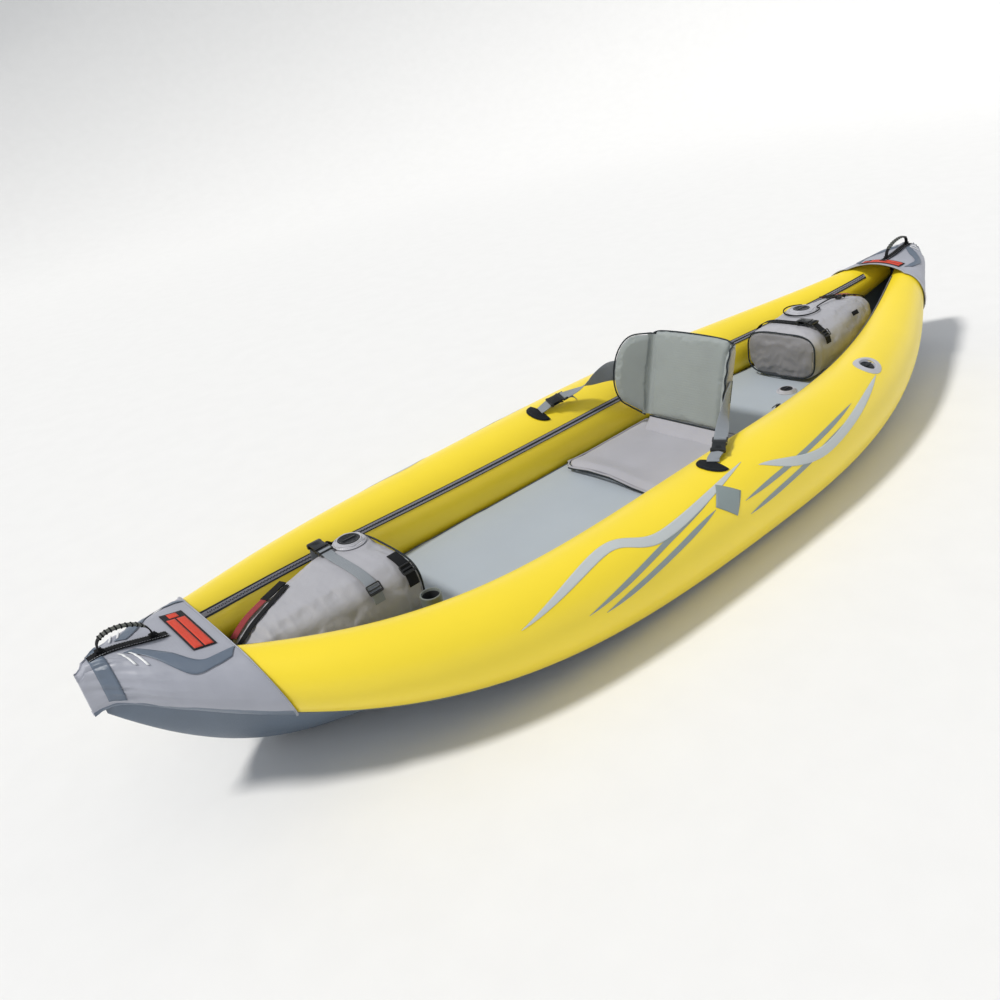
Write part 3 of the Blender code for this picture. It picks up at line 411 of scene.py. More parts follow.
def round_section(radius, sides=12):
    return [(radius * math.cos(2 * math.pi * i / sides), radius * math.sin(2 * math.pi * i / sides))
            for i in range(sides)]


class Shape:
    """Collects the surfaces of one piece."""

    def __init__(self):
        self.points, self.faces, self.kinds, self.uvs = [], [], [], []

    def add(self, points, faces, kind=0, uvs=None):
        base = len(self.points)
        self.points += [Vector(p) for p in points]
        self.faces += [[base + i for i in face] for face in faces]
        self.kinds += [kind] * len(faces)
        self.uvs += uvs or [(0.0, 0.0)] * len(points)

    def grid(self, rows, wrap=False, capped=False, kind=0, uvs=None, loop=False):
        """Quads between rows of points. wrap joins each row's ends, loop joins the last row to the first."""
        across = len(rows[0])
        faces = []
        kinds = []
        for i in range(len(rows) if loop else len(rows) - 1):
            below, above = i * across, ((i + 1) % len(rows)) * across
            for j in range(across if wrap else across - 1):
                k = (j + 1) % across
                faces.append([below + j, below + k, above + k, above + j])
                kinds.append(kind(i, j) if callable(kind) else kind)
        if capped:
            faces += [list(range(across))[::-1], [(len(rows) - 1) * across + j for j in range(across)]]
            kinds += [0 if callable(kind) else kind] * 2
        self.add([p for row in rows for p in row], faces, 0, uvs)
        self.kinds[len(self.kinds) - len(faces):] = kinds
        return self

    def sweep(self, path, ups, section, kind=0, closed=False, widths=None):
        """A section carried along a path, scaled across by widths. UVs are metres along and round it."""
        rows, uvs = [], []
        run = 0.0
        last = len(path) - 1
        for i, point in enumerate(path):
            before = path[i - 1] if closed or i else path[0]
            after = path[(i + 1) % len(path)] if closed or i < last else path[last]
            forward = (after - before).normalized()
            across = ups[i].cross(forward).normalized()
            up = forward.cross(across)
            wide = widths[i] if widths else 1.0
            rows.append([point + across * a * wide + up * b for a, b in section])
            run += (point - path[i - 1]).length if i else 0.0
            uvs += [(run, a) for a, _ in section]
        return self.grid(rows, wrap=True, capped=not closed, kind=kind, uvs=uvs, loop=closed)

    def cord(self, path, radius, kind=0, closed=False, sides=12):
        forward = (path[1] - path[0]).normalized()
        up = forward.orthogonal().normalized()
        ups = []
        for i in range(len(path)):
            ahead = path[(i + 1) % len(path)] if closed else path[min(i + 1, len(path) - 1)]
            behind = path[i - 1] if closed else path[max(i - 1, 0)]
            forward = (ahead - behind).normalized()
            up = (up - forward * up.dot(forward)).normalized()
            ups.append(up.copy())
        return self.sweep(path, ups, round_section(radius, sides), kind, closed)

    def turned(self, profile, matrix, segments=48, kind=0):
        """A profile of (radius, height) turned about local Z. A profile from axis to axis is closed."""
        rows = []
        for i in range(segments):
            angle = 2 * math.pi * i / segments
            rows.append([matrix @ Vector((r * math.cos(angle), r * math.sin(angle), z)) for r, z in profile])
        self.grid(rows, loop=True, wrap=profile[0][0] > 0, kind=kind)

    def solid(self, build, matrix, kind=0, edge=0.0, steps=2):
        """A bmesh form with its sharp edges rounded."""
        bm = bmesh.new()
        build(bm)
        if edge:
            sharp = [e for e in bm.edges if len(e.link_faces) == 2 and e.calc_face_angle() > 0.5]
            bmesh.ops.bevel(bm, geom=sharp, offset=edge, segments=steps, profile=0.5, affect="EDGES",
                            clamp_overlap=True)
        bm.verts.index_update()
        points = [matrix @ v.co for v in bm.verts]
        faces = [[v.index for v in f.verts] for f in bm.faces]
        bm.free()
        self.add(points, faces, kind)
        return self

    def block(self, size, matrix, edge=0.0008, kind=0):
        def build(bm):
            bmesh.ops.create_cube(bm, size=1.0)
            bmesh.ops.scale(bm, vec=size, verts=bm.verts)
        return self.solid(build, matrix, kind, edge)

    def plate(self, outline, thickness, matrix, edge=0.0008, kind=0):
        def build(bm):
            bottom = [bm.verts.new((x, y, -thickness / 2)) for x, y in outline]
            face = bm.faces.new(bottom)
            raised = bmesh.ops.extrude_face_region(bm, geom=[face])["geom"]
            top = [g for g in raised if isinstance(g, bmesh.types.BMVert)]
            bmesh.ops.translate(bm, vec=(0, 0, thickness), verts=top)
            bmesh.ops.recalc_face_normals(bm, faces=bm.faces)
        return self.solid(build, matrix, kind, edge)

    def stitches(self, path, ups, lift, kind=0, pitch=0.0045, length=0.0028, radius=0.00045):
        """A row of thread dashes on a surface."""
        carried = 0.0
        for i in range(len(path) - 1):
            step = path[i + 1] - path[i]
            while carried < step.length:
                start = path[i] + step.normalized() * carried + ups[i].normalized() * lift
                stop = start + step.normalized() * length
                self.cord([start, stop], radius, kind, sides=5)
                carried += pitch
            carried -= step.length

    def make(self, name, finishes, body=None, stands_for=(), outward=True):
        mesh = bpy.data.meshes.new(name)
        mesh.from_pydata([tuple(p) for p in self.points], [], self.faces)
        layer = mesh.uv_layers.new(name="UVMap")
        for loop in mesh.loops:
            layer.data[loop.index].uv = self.uvs[loop.vertex_index]
        finishes = [finishes] if isinstance(finishes, str) else finishes
        for finish in finishes:
            mesh.materials.append(material_for(finish))
        mesh.polygons.foreach_set("material_index", self.kinds)
        bm = bmesh.new()
        bm.from_mesh(mesh)
        bmesh.ops.remove_doubles(bm, verts=bm.verts, dist=MERGE)
        bmesh.ops.dissolve_degenerate(bm, edges=bm.edges, dist=MERGE)
        if outward:
            bmesh.ops.recalc_face_normals(bm, faces=bm.faces)
        bm.to_mesh(mesh)
        bm.free()
        mesh.shade_smooth()
        mesh.set_sharp_from_angle(angle=SHARP_ANGLE)
        obj = bpy.data.objects.new(name, mesh)
        bpy.context.scene.collection.objects.link(obj)
        if body:
            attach(obj, body)
        if stands_for:
            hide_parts(*stands_for)
        return obj


def settle(obj):
    """Applies an object's modifiers."""
    graph = bpy.context.evaluated_depsgraph_get()
    mesh = bpy.data.meshes.new_from_object(obj.evaluated_get(graph))
    old = obj.data
    obj.modifiers.clear()
    obj.data = mesh
    mesh.name = old.name
    bpy.data.meshes.remove(old)
    return obj


def thicken(obj, thickness, offset=-1.0):
    shell = obj.modifiers.new("shell", "SOLIDIFY")
    shell.thickness = thickness
    shell.offset = offset
    return settle(obj)


def laid(shape, name, finish, thickness):
    """An open sheet thickened both ways and fixed on the hull."""
    piece = thicken(shape.make(name, finish, outward=False), thickness, 0.0)
    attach(piece, "hull")
    return piece


def orient(obj, upward):
    """Turns an open skin's faces outward, judged by its highest face, or by its lowest."""
    bm = bmesh.new()
    bm.from_mesh(obj.data)
    bmesh.ops.recalc_face_normals(bm, faces=bm.faces)
    choose = max if upward else min
    face = choose(bm.faces, key=lambda f: f.calc_center_median().z)
    if (face.normal.z > 0) != upward:
        bmesh.ops.reverse_faces(bm, faces=bm.faces)
    bm.to_mesh(obj.data)
    bm.free()
    obj.data.shade_smooth()


# ---------------------------------------------------------------- hull lines
@functools.lru_cache(maxsize=None)
def tube_centre(x):
    """Lobe offset from the centreline, height of its centre and its radius at x."""
    lines = BOW_LINES if x > 0 else STERN_LINES
    t = min(abs(x) / HALF_LENGTH, 1.0)
    middle = HALF_BEAM - TUBE_RADIUS
    plan = (1 - t ** lines["plan_power"]) ** lines["plan_round"]
    offset = lines["end_offset"] + (middle - lines["end_offset"]) * plan
    height = TUBE_RADIUS + TUBE_LIFT + lines["rise"] * t ** lines["rise_power"]
    radius = TUBE_RADIUS * (1 - lines["shrink"] * t ** lines["shrink_power"])
    return offset, height, radius


@functools.lru_cache(maxsize=None)
def tube_frame(side, x):
    step = 0.004
    y, z, radius = tube_centre(x)
    ya, za, _ = tube_centre(x - step)
    yb, zb, _ = tube_centre(x + step)
    forward = Vector((2 * step, side * (yb - ya), zb - za)).normalized()
    upward = (UP - forward * forward.z).normalized()
    outboard = upward.cross(forward) * side
    return Vector((x, side * y, z)), forward, upward, outboard, radius


def tube_normal(side, x, degrees):
    _, _, upward, outboard, _ = tube_frame(side, x)
    angle = math.radians(degrees)
    return upward * math.cos(angle) + outboard * math.sin(angle)


def on_tube(side, x, degrees, lift=0.0):
    """A point on a tube, `degrees` from its top towards the outboard side."""
    centre, _, _, _, radius = tube_frame(side, x)
    return centre + tube_normal(side, x, degrees) * (radius + lift)


def lobe_point(side, x, degrees, lift=0.0):
    """Where a tube's outline crosses the plane at x, pinched in towards the nose."""
    at = x
    for _ in range(6):
        at += x - on_tube(side, at, degrees, lift).x
    point = on_tube(side, at, degrees, lift)
    if abs(x) > NOSE_START:
        lines = BOW_LINES if x > 0 else STERN_LINES
        _, height, radius = tube_centre(x)
        s = ((abs(x) - NOSE_START) / (HALF_LENGTH - NOSE_START)) ** 2
        squeeze = 1 + (lines["nose_half_height"] / radius - 1) * s
        level = height + (lines["nose_height"] - height) * s
        point = Vector((x, point.y * (1 - NOSE_PINCH * s), level + (point.z - height) * squeeze))
    return Vector((x, point.y, point.z))


def keel_height(x):
    """The keel's height, flat between the ends and rising as a parabola."""
    line = KEEL[1 if x > 0 else -1]
    beyond = max(abs(x) - line["start"], 0.0)
    return line["height"] * (beyond / line["run"]) ** 2


def crown(x):
    """How far the deck arches above the tubes, fading from the cover's edge to the nose."""
    end = 1 if x > 0 else -1
    share = min(max((abs(x) - CAP_EDGE[end]) / (HALF_LENGTH - CAP_EDGE[end]), 0.0), 1.0)
    return CROWN[end] * (1 - share) ** 3


def deck_height(x):
    return lobe_point(1, x, 0, CAP_CLEARANCE + CAP_THICKNESS).z + crown(x)


def cap_point(x, across, lift=0.0):
    """On an end cover. |across| runs 0 to 1 over the deck to a tube's top, then 1 more per 100 degrees."""
    side = 1 if across >= 0 else -1
    beyond = max(abs(across) - 1.0, 0.0)
    point = lobe_point(side, x, beyond * 100, CAP_CLEARANCE + CAP_THICKNESS + lift)
    if beyond == 0.0:
        share = abs(across)
        point.y *= share
        point.z += crown(x) * (1 - share * share)
    return point


def skin_point(x, share, lift=0.0):
    """The bottom skin's outer face, share running from 0 at the keel to 1 under the tube."""
    under_tube = lobe_point(1, x, 180, CAP_CLEARANCE + SKIN_THICKNESS - TOUCH)
    tube_bottom = under_tube.z if under_tube.z > FLAT_BELOW else 0.0
    keel = min(keel_height(x), tube_bottom)
    return Vector((x, under_tube.y * share, keel + (tube_bottom - keel) * share ** 2 + lift))


def floor_half_width(x):
    wall = [lobe_point(1, x, degrees) for degrees in range(-180, -80, 6)]
    between_tubes = min([p.y for p in wall if p.z <= FLOOR_TOP] or [wall[0].y])
    keel, tube_bottom = skin_point(x, 0.0).z, skin_point(x, 1.0).z
    share = math.sqrt((FLOOR_TOP - 0.055 - keel) / max(tube_bottom - keel, 0.02))
    return min(between_tubes, wall[0].y * min(share, 0.92)) - 0.006


# ---------------------------------------------------------------- soft shaping
def displace(obj, move):
    """Moves each point by move(co, normal), which gives an offset."""
    mesh = obj.data
    normals = [v.normal.copy() for v in mesh.vertices]
    for vertex, normal in zip(mesh.vertices, normals):
        vertex.co = vertex.co + move(vertex.co, normal)
    mesh.update()


def folds(point, size, stretch=(1, 1, 1), seed=0.0):
    """Crease-like noise from -1 to 1: sharp valleys between soft swells."""
    where = Vector([p * s / size for p, s in zip(point, stretch)]) + Vector((seed, seed, seed))
    return 1.0 - 2.0 * abs(noise.noise(where) + 0.4 * noise.noise(where * 2.1)) * 1.8


def pillow(obj, cap, voxel=0.005, pressure=4.0, frames=20, ease=2):
    """Swells a closed form like a stuffed cover, with no point moving further than cap."""
    remesh = obj.modifiers.new("voxels", "REMESH")
    remesh.mode = "VOXEL"
    remesh.voxel_size = voxel
    relax = obj.modifiers.new("relax", "SMOOTH")
    relax.iterations = ease
    settle(obj)
    rest = [v.co.copy() for v in obj.data.vertices]
    cloth = obj.modifiers.new("cloth", "CLOTH")
    cloth.settings.use_pressure = True
    cloth.settings.uniform_pressure_force = pressure
    cloth.settings.effector_weights.gravity = 0.0
    cloth.settings.quality = 4
    cloth.point_cache.frame_end = frames
    scene = bpy.context.scene
    for number in range(1, frames + 1):
        scene.frame_set(number)
    settle(obj)
    scene.frame_set(1)
    for vertex, start in zip(obj.data.vertices, rest):
        step = vertex.co - start
        if step.length > cap:
            vertex.co = start + step.normalized() * cap
    level = obj.modifiers.new("round", "SUBSURF")
    level.levels = level.render_levels = 1
    settle(obj)
    obj.data.shade_smooth()
    return obj


# ---------------------------------------------------------------- camera, floor and light
def set_stage():
    forward = CAMERA_AIM.normalized()
    right = forward.cross(UP).normalized()
    up = right.cross(forward)
    roll = math.radians(CAMERA_ROLL)
    level = right * math.cos(roll) + up * math.sin(roll)
    upright = up * math.cos(roll) - right * math.sin(roll)
    data = bpy.data.cameras.new("camera")
    data.sensor_width = 36.0
    data.lens = CAMERA_LENS
    camera = bpy.data.objects.new("camera", data)
    turn = Matrix((level, upright, -forward)).transposed().to_4x4()
    camera.matrix_world = shift(*CAMERA_PLACE) @ turn
    bpy.context.scene.collection.objects.link(camera)
    bpy.context.scene.camera = camera

    backdrop = Shape()
    flat, round_radius = 7.0, 4.0
    profile = [(0.0, FLOOR_LEVEL)] + [(flat * i / 6, FLOOR_LEVEL) for i in range(1, 7)]
    profile += [(flat + round_radius * math.sin(math.radians(a)),
                 FLOOR_LEVEL + round_radius * (1 - math.cos(math.radians(a)))) for a in range(8, 89, 8)]
    backdrop.turned(profile, Matrix.Identity(4), 64)
    mesh = bpy.data.meshes.new("studio_floor")
    mesh.from_pydata([tuple(p) for p in backdrop.points], [], backdrop.faces)
    mesh.shade_smooth()
    ground = bpy.data.objects.new("studio_floor", mesh)
    mesh.materials.append(make_material("studio_floor", (0.83, 0.835, 0.84), 0.75, mottle=0.01, grain=0.05))
    bpy.context.scene.collection.objects.link(ground)

    world = bpy.data.worlds.new("studio")
    world.use_nodes = True
    back = world.node_tree.nodes["Background"]
    back.inputs["Color"].default_value = (0.93, 0.96, 1.0, 1)
    back.inputs["Strength"].default_value = SKY_STRENGTH
    bpy.context.scene.world = world
    sun = bpy.data.lights.new("key", "SUN")
    sun.energy = SUN_STRENGTH
    sun.angle = math.radians(SUN_SPREAD)
    sun.color = (1.0, 0.97, 0.92)
    key = bpy.data.objects.new("key", sun)
    key.matrix_world = facing_matrix((3.0, -1.0, 5.0), (0.50, -0.22, 0.84))
    bpy.context.scene.collection.objects.link(key)
    bpy.context.scene.view_settings.view_transform = "Standard"


# ---------------------------------------------------------------- tubes
def cover_lift(side, x, degrees):
    """The cover's slack: it only sinks, mostly near the ends and away from what is fixed on it."""
    ends = smoothstep(abs(x), 0.85, 1.25)
    near_zip = smoothstep(abs(degrees - ZIPPER_ANGLE), 8, 20)
    p = Vector((x * 3.0, side * 5.0 + math.radians(degrees) * 2.2, 0.3))
    ripple = 0.5 + 0.5 * noise.noise(p * 3.0)
    return -(0.0001 + 0.0002 * ends) * ripple * near_zip


def tube_row(side, x, sides, scale=1.0, inset=0.0):
    """Points round a tube at one station."""
    centre, _, _, _, radius = tube_frame(side, x)
    row = []
    for i in range(sides):
        degrees = 360 * i / sides - 180
        reach = (radius + cover_lift(side, x, degrees) - inset) * scale
        row.append(centre + tube_normal(side, x, degrees) * reach)
    return row


def tube_skin(name, side, stations, sides, finish, inset=0.0):
    """A closed tube with the valve's pocket sunk in it, `inset` inside the cover's own surface."""
    half = (BOW_TUBE_END - STERN_TUBE_END) / 2 - inset
    middle = (BOW_TUBE_END + STERN_TUBE_END) / 2
    rows = []
    for i in range(stations + 1):
        share = math.sin(math.pi * (i / stations - 0.5))
        x = middle + half * (0.55 * share + 0.45 * (2 * i / stations - 1))
        rows.append(tube_row(side, x, sides, inset=inset))
    rows.insert(0, tube_row(side, middle - half, sides, 0.6, inset))
    rows.append(tube_row(side, middle + half, sides, 0.6, inset))
    skin = Shape().grid(rows, wrap=True, capped=True).make(name, finish)
    mouth = facing_matrix(on_tube(side, VALVE_X, VALVE_ANGLE), tube_normal(side, VALVE_X, VALVE_ANGLE))
    wide, deep = POCKET_RADIUS + inset / 3, POCKET_DEPTH + inset / 3
    pocket = Shape()
    pocket.turned([(0, 0.01), (wide, 0.01), (wide, -deep), (0, -deep)], mouth, 64)
    cutter = pocket.make(f"{name}_cutter", finish, "hull")
    cut = skin.modifiers.new("pocket", "BOOLEAN")
    cut.object = cutter
    cut.solver = "EXACT"
    settle(skin)
    bpy.data.objects.remove(cutter)
    skin.data.shade_smooth()
    skin.data.set_sharp_from_angle(angle=math.radians(40))
    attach(skin, "hull")
    return skin


def build_tubes():
    """Each tube's yellow cover, and the airtight tube just inside it."""
    for side, word in SIDES:
        cover = tube_skin(f"{word}_cover_skin", side, 170, 80, "hull_yellow")
        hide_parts(f"{word}_tube_cover")
        inner = tube_skin(f"{word}_inner_tube", side, 110, 64, "bladder_clear", INNER_TUBE_INSET)
        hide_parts(f"{word}_air_bladder")


def build_seam_tape():
    """The welded tape where each tube cover meets the bottom skin."""
    for side, word in SIDES:
        rows = []
        for i in range(141):
            x = -1.16 + 2.34 * i / 140
            rows.append([on_tube(side, x, 150 + 8 * j / 5, 0.0009) for j in range(6)])
        laid(Shape().grid(rows), f"{word}_seam_tape", "cap_slate", 0.0010)


# ---------------------------------------------------------------- printed stripes
def stripe_rows(point, spine, width, across=8, steps=14):
    """Rows across a tapering stripe along a smooth (x, degrees) spine."""
    line = smooth_path([Vector((x, math.radians(d))) for x, d in spine], steps)
    rows = []
    last = len(line) - 1
    for i, here in enumerate(line):
        radius = tube_centre(here.x)[2]
        ahead, behind = line[min(i + 1, last)], line[max(i - 1, 0)]
        run = Vector((ahead.x - behind.x, (ahead.y - behind.y) * radius)).normalized()
        share = i / last
        taper = min(1.0, share * 3.2, (1 - share) * 3.2)
        half = max(width / 2 * math.sin(taper * math.pi / 2), 0.0004)
        row = []
        for j in range(across + 1):
            offset = half * (2 * j / across - 1)
            x = here.x - run.y * offset
            degrees = math.degrees(here.y + run.x * offset / radius)
            row.append(point(x, degrees))
        rows.append(row)
    return rows


def print_on_tube(name, side, spine, width, finish, lift=0.00025):
    def point(x, degrees):
        return on_tube(side, x, degrees, cover_lift(side, x, degrees) + lift)
    laid(Shape().grid(stripe_rows(point, spine, width)), name, finish, PRINT_THICKNESS)


def print_diamond(name, side, x, degrees, length, height):
    """A plain diamond, `length` along the tube and `height` round it."""
    radius = tube_centre(x)[2]
    rows = []
    for t in between(-1, 1, 24):
        half = max(1 - abs(t), 0.01) * length / 2
        turn = degrees + math.degrees(t * height / 2 / radius)
        rows.append([on_tube(side, x + half * u, turn, cover_lift(side, x + half * u, turn) + 0.0010)
                     for u in between(-1, 1, 8)])
    laid(Shape().grid(rows), name, "print_dark", PRINT_THICKNESS)


def build_prints():
    """Plain tapering stripes and a diamond on each tube."""
    light = [[(0.80, 62), (0.56, 22), (0.42, 42), (0.10, 22)], [(0.07, 36), (-0.15, 66), (-0.52, 38)]]
    dark = [[(0.66, 78), (0.44, 52), (0.24, 36)], [(0.62, 84), (0.44, 66), (0.26, 50)],
            [(0.17, 60), (-0.06, 54), (-0.34, 42)], [(0.17, 76), (-0.04, 68), (-0.32, 54)]]
    for side, word in SIDES:
        for number, spine in enumerate(dark, 1):
            print_on_tube(f"{word}_dark_stripe_{number}", side, spine, 0.012, "print_dark")
        for number, spine in enumerate(light, 1):
            print_on_tube(f"{word}_light_stripe_{number}", side, spine, 0.024, "print_light", lift=0.0006)
        print_diamond(f"{word}_diamond", side, 0.212, 48, 0.090, 0.085)


# ---------------------------------------------------------------- zippers
def build_zippers():
    """A tape, two woven bands and interlocking teeth along each tube."""
    first, last = ZIPPER_SPAN
    xs = between(first, last, 170)
    for side, word in SIDES:
        shape = Shape()
        ups = [tube_normal(side, x, ZIPPER_ANGLE) for x in xs]
        base = [on_tube(side, x, ZIPPER_ANGLE, 0.0006) for x in xs]
        shape.sweep(base, ups, strap_section(ZIPPER_WIDTH * 1.45, 0.0010), kind=0)
        for sign in (-1, 1):
            turn = math.degrees(sign * ZIPPER_WIDTH * 0.38 / TUBE_RADIUS)
            band = [on_tube(side, x, ZIPPER_ANGLE + turn, 0.0015) for x in xs]
            shape.sweep(band, ups, strap_section(ZIPPER_WIDTH * 0.40, 0.0012), kind=1)
        for i in range(int((last - first - 0.02) / TOOTH_PITCH)):
            x = first + 0.01 + i * TOOTH_PITCH
            offset = 0.0008 if i % 2 else -0.0008
            normal = tube_normal(side, x, ZIPPER_ANGLE)
            seat = frame_matrix(on_tube(side, x, ZIPPER_ANGLE, 0.0018), tube_frame(side, x)[1], normal)
            shape.block((0.0026, 0.0034, 0.0014), seat @ shift(0, offset, 0), 0.0, kind=2)
        shape.make(f"{word}_zipper", ["piping", "zipper_grey", "zipper_teeth"], "hull",
                   [f"{word}_zipper_tape"])
        build_slider(side, word)


def build_slider(side, word):
    """The slider's body, bridge and hanging pull."""
    low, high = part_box(f"{word}_zipper_slider")
    x = (low[0] + high[0]) / 2
    normal = tube_normal(side, x, ZIPPER_ANGLE)
    seat = frame_matrix(on_tube(side, x, ZIPPER_ANGLE, 0.0062), tube_frame(side, x)[1], normal)
    shape = Shape()
    outline = [(-0.009, -0.0035), (-0.009, 0.0035), (0.001, 0.0055), (0.009, 0.0052), (0.009, -0.0052),
               (0.001, -0.0055)]
    shape.plate(outline, 0.0016, seat @ shift(0, 0, 0.0008), 0.0004)
    shape.plate(outline, 0.0012, seat @ shift(0, 0, -0.0012), 0.0004)
    bridge = [seat @ Vector(p) for p in ((-0.006, 0, 0.0012), (-0.005, 0, 0.0036), (0.002, 0, 0.0040),
                                         (0.005, 0, 0.0014))]
    shape.cord(smooth_path(bridge, 6), 0.0009)
    pull = [(0.0, -0.0028), (0.0, 0.0028), (0.020, 0.0040), (0.024, 0.0020), (0.024, -0.0020),
            (0.020, -0.0040)]
    shape.plate(pull, 0.0014, seat @ shift(0.001, 0, 0.0042), 0.0004)
    shape.make(f"{word}_slider_and_pull", "buckle_black", f"{word}_zipper_slider", [f"{word}_zipper_slider"])


# ---------------------------------------------------------------- end covers
def slate_from(x):
    """The degree at which an end cover turns to the darker bottom fabric."""
    return 116 + 20 * smoothstep(abs(x), 1.32, 1.46)


def cap_wrinkle(end, x, degrees, side):
    """Creases gather at the pinched nose and run fore and aft, with a few across the lobes."""
    nose = smoothstep(abs(x), 1.33, 1.46)
    p = Vector((x, side * 0.3, math.radians(degrees) * 0.06))
    along = folds(p, 0.045, (0.6, 1, 2.2), 3.0 + end)
    across = folds(p, 0.06, (1.6, 1, 0.5), 8.0 + side)
    return (0.0006 + 0.0044 * nose) * along * 0.5 + (0.0004 + 0.0010 * nose) * across


def build_cap(name, end, node_name):
    """An end cover over both lobes and the deck, with a hem at its free edge and a gathered nose."""
    deck = [i / 8 for i in range(8)]
    upper, lower, steps = 34, 12, 90
    edge = CAP_EDGE[end]
    rows = []
    for i in range(steps + 1):
        share = 1 - (1 - i / steps) ** 1.15
        row = []
        for side in (1, -1):
            column = []
            for k in range(upper + lower + 1):
                seam_x = end * edge
                for _ in range(2):
                    limit = slate_from(seam_x)
                    if k <= upper:
                        degrees = limit * k / upper
                    else:
                        degrees = limit + (150 - limit) * (k - upper) / lower
                    seam = lobe_point(side, end * edge, degrees, CAP_CLEARANCE + CAP_THICKNESS)
                    start = edge - CAP_EDGE_SLANT * max(deck_height(end * edge) - seam.z, 0.0)
                    seam_x = end * (start + (HALF_LENGTH - start) * share)
                lift = cap_wrinkle(end, seam_x, degrees, side)
                column.append(cap_point(seam_x, side * (1 + degrees / 100), lift))
            middle = []
            x = end * (edge + (HALF_LENGTH - edge) * share)
            for across in reversed(deck):
                if side == 1 or across > 0:
                    point = cap_point(x, side * across)
                    towards_nose = smoothstep(abs(x), 1.25, 1.42)
                    point.z += 0.0010 * folds(point, 0.05, (0.5, 1.4, 1), 5.0) * towards_nose
                    middle.append(point)
            row.append((column, middle))
        port, starboard = row
        rows.append(port[0][::-1] + port[1] + starboard[1][::-1] + starboard[0])
    columns = len(rows[0])

    def kind(_, j):
        return 1 if j < lower or j >= columns - 1 - lower else 0
    shape = Shape()
    shape.grid(rows, kind=kind)
    base = (len(rows) - 1) * columns
    nose = [[base + j, base + j + 1, base + columns - 2 - j, base + columns - 1 - j]
            for j in range(columns // 2)]
    nose = [list(dict.fromkeys(face)) for face in nose]
    nose = [face for face in nose if len(face) > 2]
    shape.faces += nose
    shape.kinds += [0] * len(nose)
    cover = shape.make(name, ["cap_grey", "cap_slate"], outward=False)
    orient(cover, True)
    thicken(cover, CAP_THICKNESS)
    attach(cover, "hull")
    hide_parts(node_name)
    ups = edge_normals(rows)
    hem = Shape()
    hem.cord([p + u * 0.0002 for p, u in zip(rows[0], ups)][2:-2], 0.0013)
    inner = [p + u * 0.0011 + Vector((end * 0.0020, 0, 0)) for p, u in zip(rows[0], ups)]
    hem.stitches(inner[4:-4], ups[4:-4], 0.0001, kind=1)
    hem.make(f"{name}_hem", ["cap_grey", "thread_light"], "hull")


def edge_normals(rows):
    """Outward normals along a cover's free edge, eased over its corners."""
    edge, inner = rows[0], rows[5]
    normals = []
    for i, point in enumerate(edge):
        run = edge[min(i + 1, len(edge) - 1)] - edge[max(i - 1, 0)]
        normal = run.cross(inner[i] - point).normalized()
        outward = point - Vector((point.x, 0, 0.12))
        normals.append(normal if normal.dot(outward) > 0 else -normal)
    for _ in range(2):
        eased = [(a + b * 2 + c).normalized() for a, b, c in zip(normals, normals[1:], normals[2:])]
        normals = [normals[0]] + eased + [normals[-1]]
    return normals


def print_on_cap(name, rows_of, finish, lift):
    def point(x, across):
        over = max(abs(across) - 1, 0)
        wrinkle = cap_wrinkle(math.copysign(1, x), x, over * 100, math.copysign(1, across)) if over else 0
        return cap_point(x, across, lift + wrinkle)
    rows = [[point(x, across) for x, across in row] for row in rows_of]
    laid(Shape().grid(rows), name, finish, CAP_PRINT_THICKNESS)


def across_for(x, y):
    """The cap's across value at a width y, on the deck or just over its shoulder."""
    return y / cap_point(x, 1.0).y


def build_cap_prints():
    """Bands in the darker fabric, plain bars, and a plain two-colour label near each deck's edge."""
    spine = smooth_path(WAVE_SPINE, 10)
    for end, word in ENDS:
        band = [[(x, across) for x in between(end * 1.424, end * 1.448, 6)]
                for across in between(-2.15, 2.15, 90)]
        print_on_cap(f"{word}_nose_band", band, "cap_slate", 0.0022)
        for side, half in SIDES:
            rows = [[(end * (p.x + 0.010 * t * min(1, 1.4 - 0.6 * i / len(spine))),
                      side * (p.y + 0.13 * t)) for t in between(-1, 1, 6)] for i, p in enumerate(spine)]
            print_on_cap(f"{word}_{half}_wave_band", rows, "cap_slate", 0.0018)
            for number, x in enumerate((1.402, 1.386), 1):
                bar = [[(end * (x - 0.012 * t + w), side * (0.75 + 0.55 * t))
                        for w in between(-0.0022, 0.0022, 2)] for t in between(0, 1, 8)]
                print_on_cap(f"{word}_{half}_white_bar_{number}", bar, "print_white", 0.0026)
        build_label(word, *LABELS[end])


def build_label(word, x0, x1, y0, y1):
    """A black ground with two red bars and a red block."""
    def rows(xa, xb, ya, yb, count):
        return [[(x, across_for(x, y)) for x in between(xa, xb, 4)] for y in between(ya, yb, count)]
    print_on_cap(f"{word}_label_ground", rows(x0, x1, y0, y1, 24), "label_black", 0.0018)
    gap = 0.004
    middle = (x0 + x1) / 2
    for number, (xa, xb) in enumerate(((x0 + gap, middle - 0.0015), (middle + 0.0015, x1 - gap)), 1):
        bar = rows(xa, xb, y0 + 0.030, y1 - gap, 18)
        print_on_cap(f"{word}_label_bar_{number}", bar, "label_red", 0.0024)
    block = rows(x0 + 0.012, x1 - 0.012, y0 + gap, y0 + 0.024, 6)
    print_on_cap(f"{word}_label_block", block, "label_red", 0.0024)


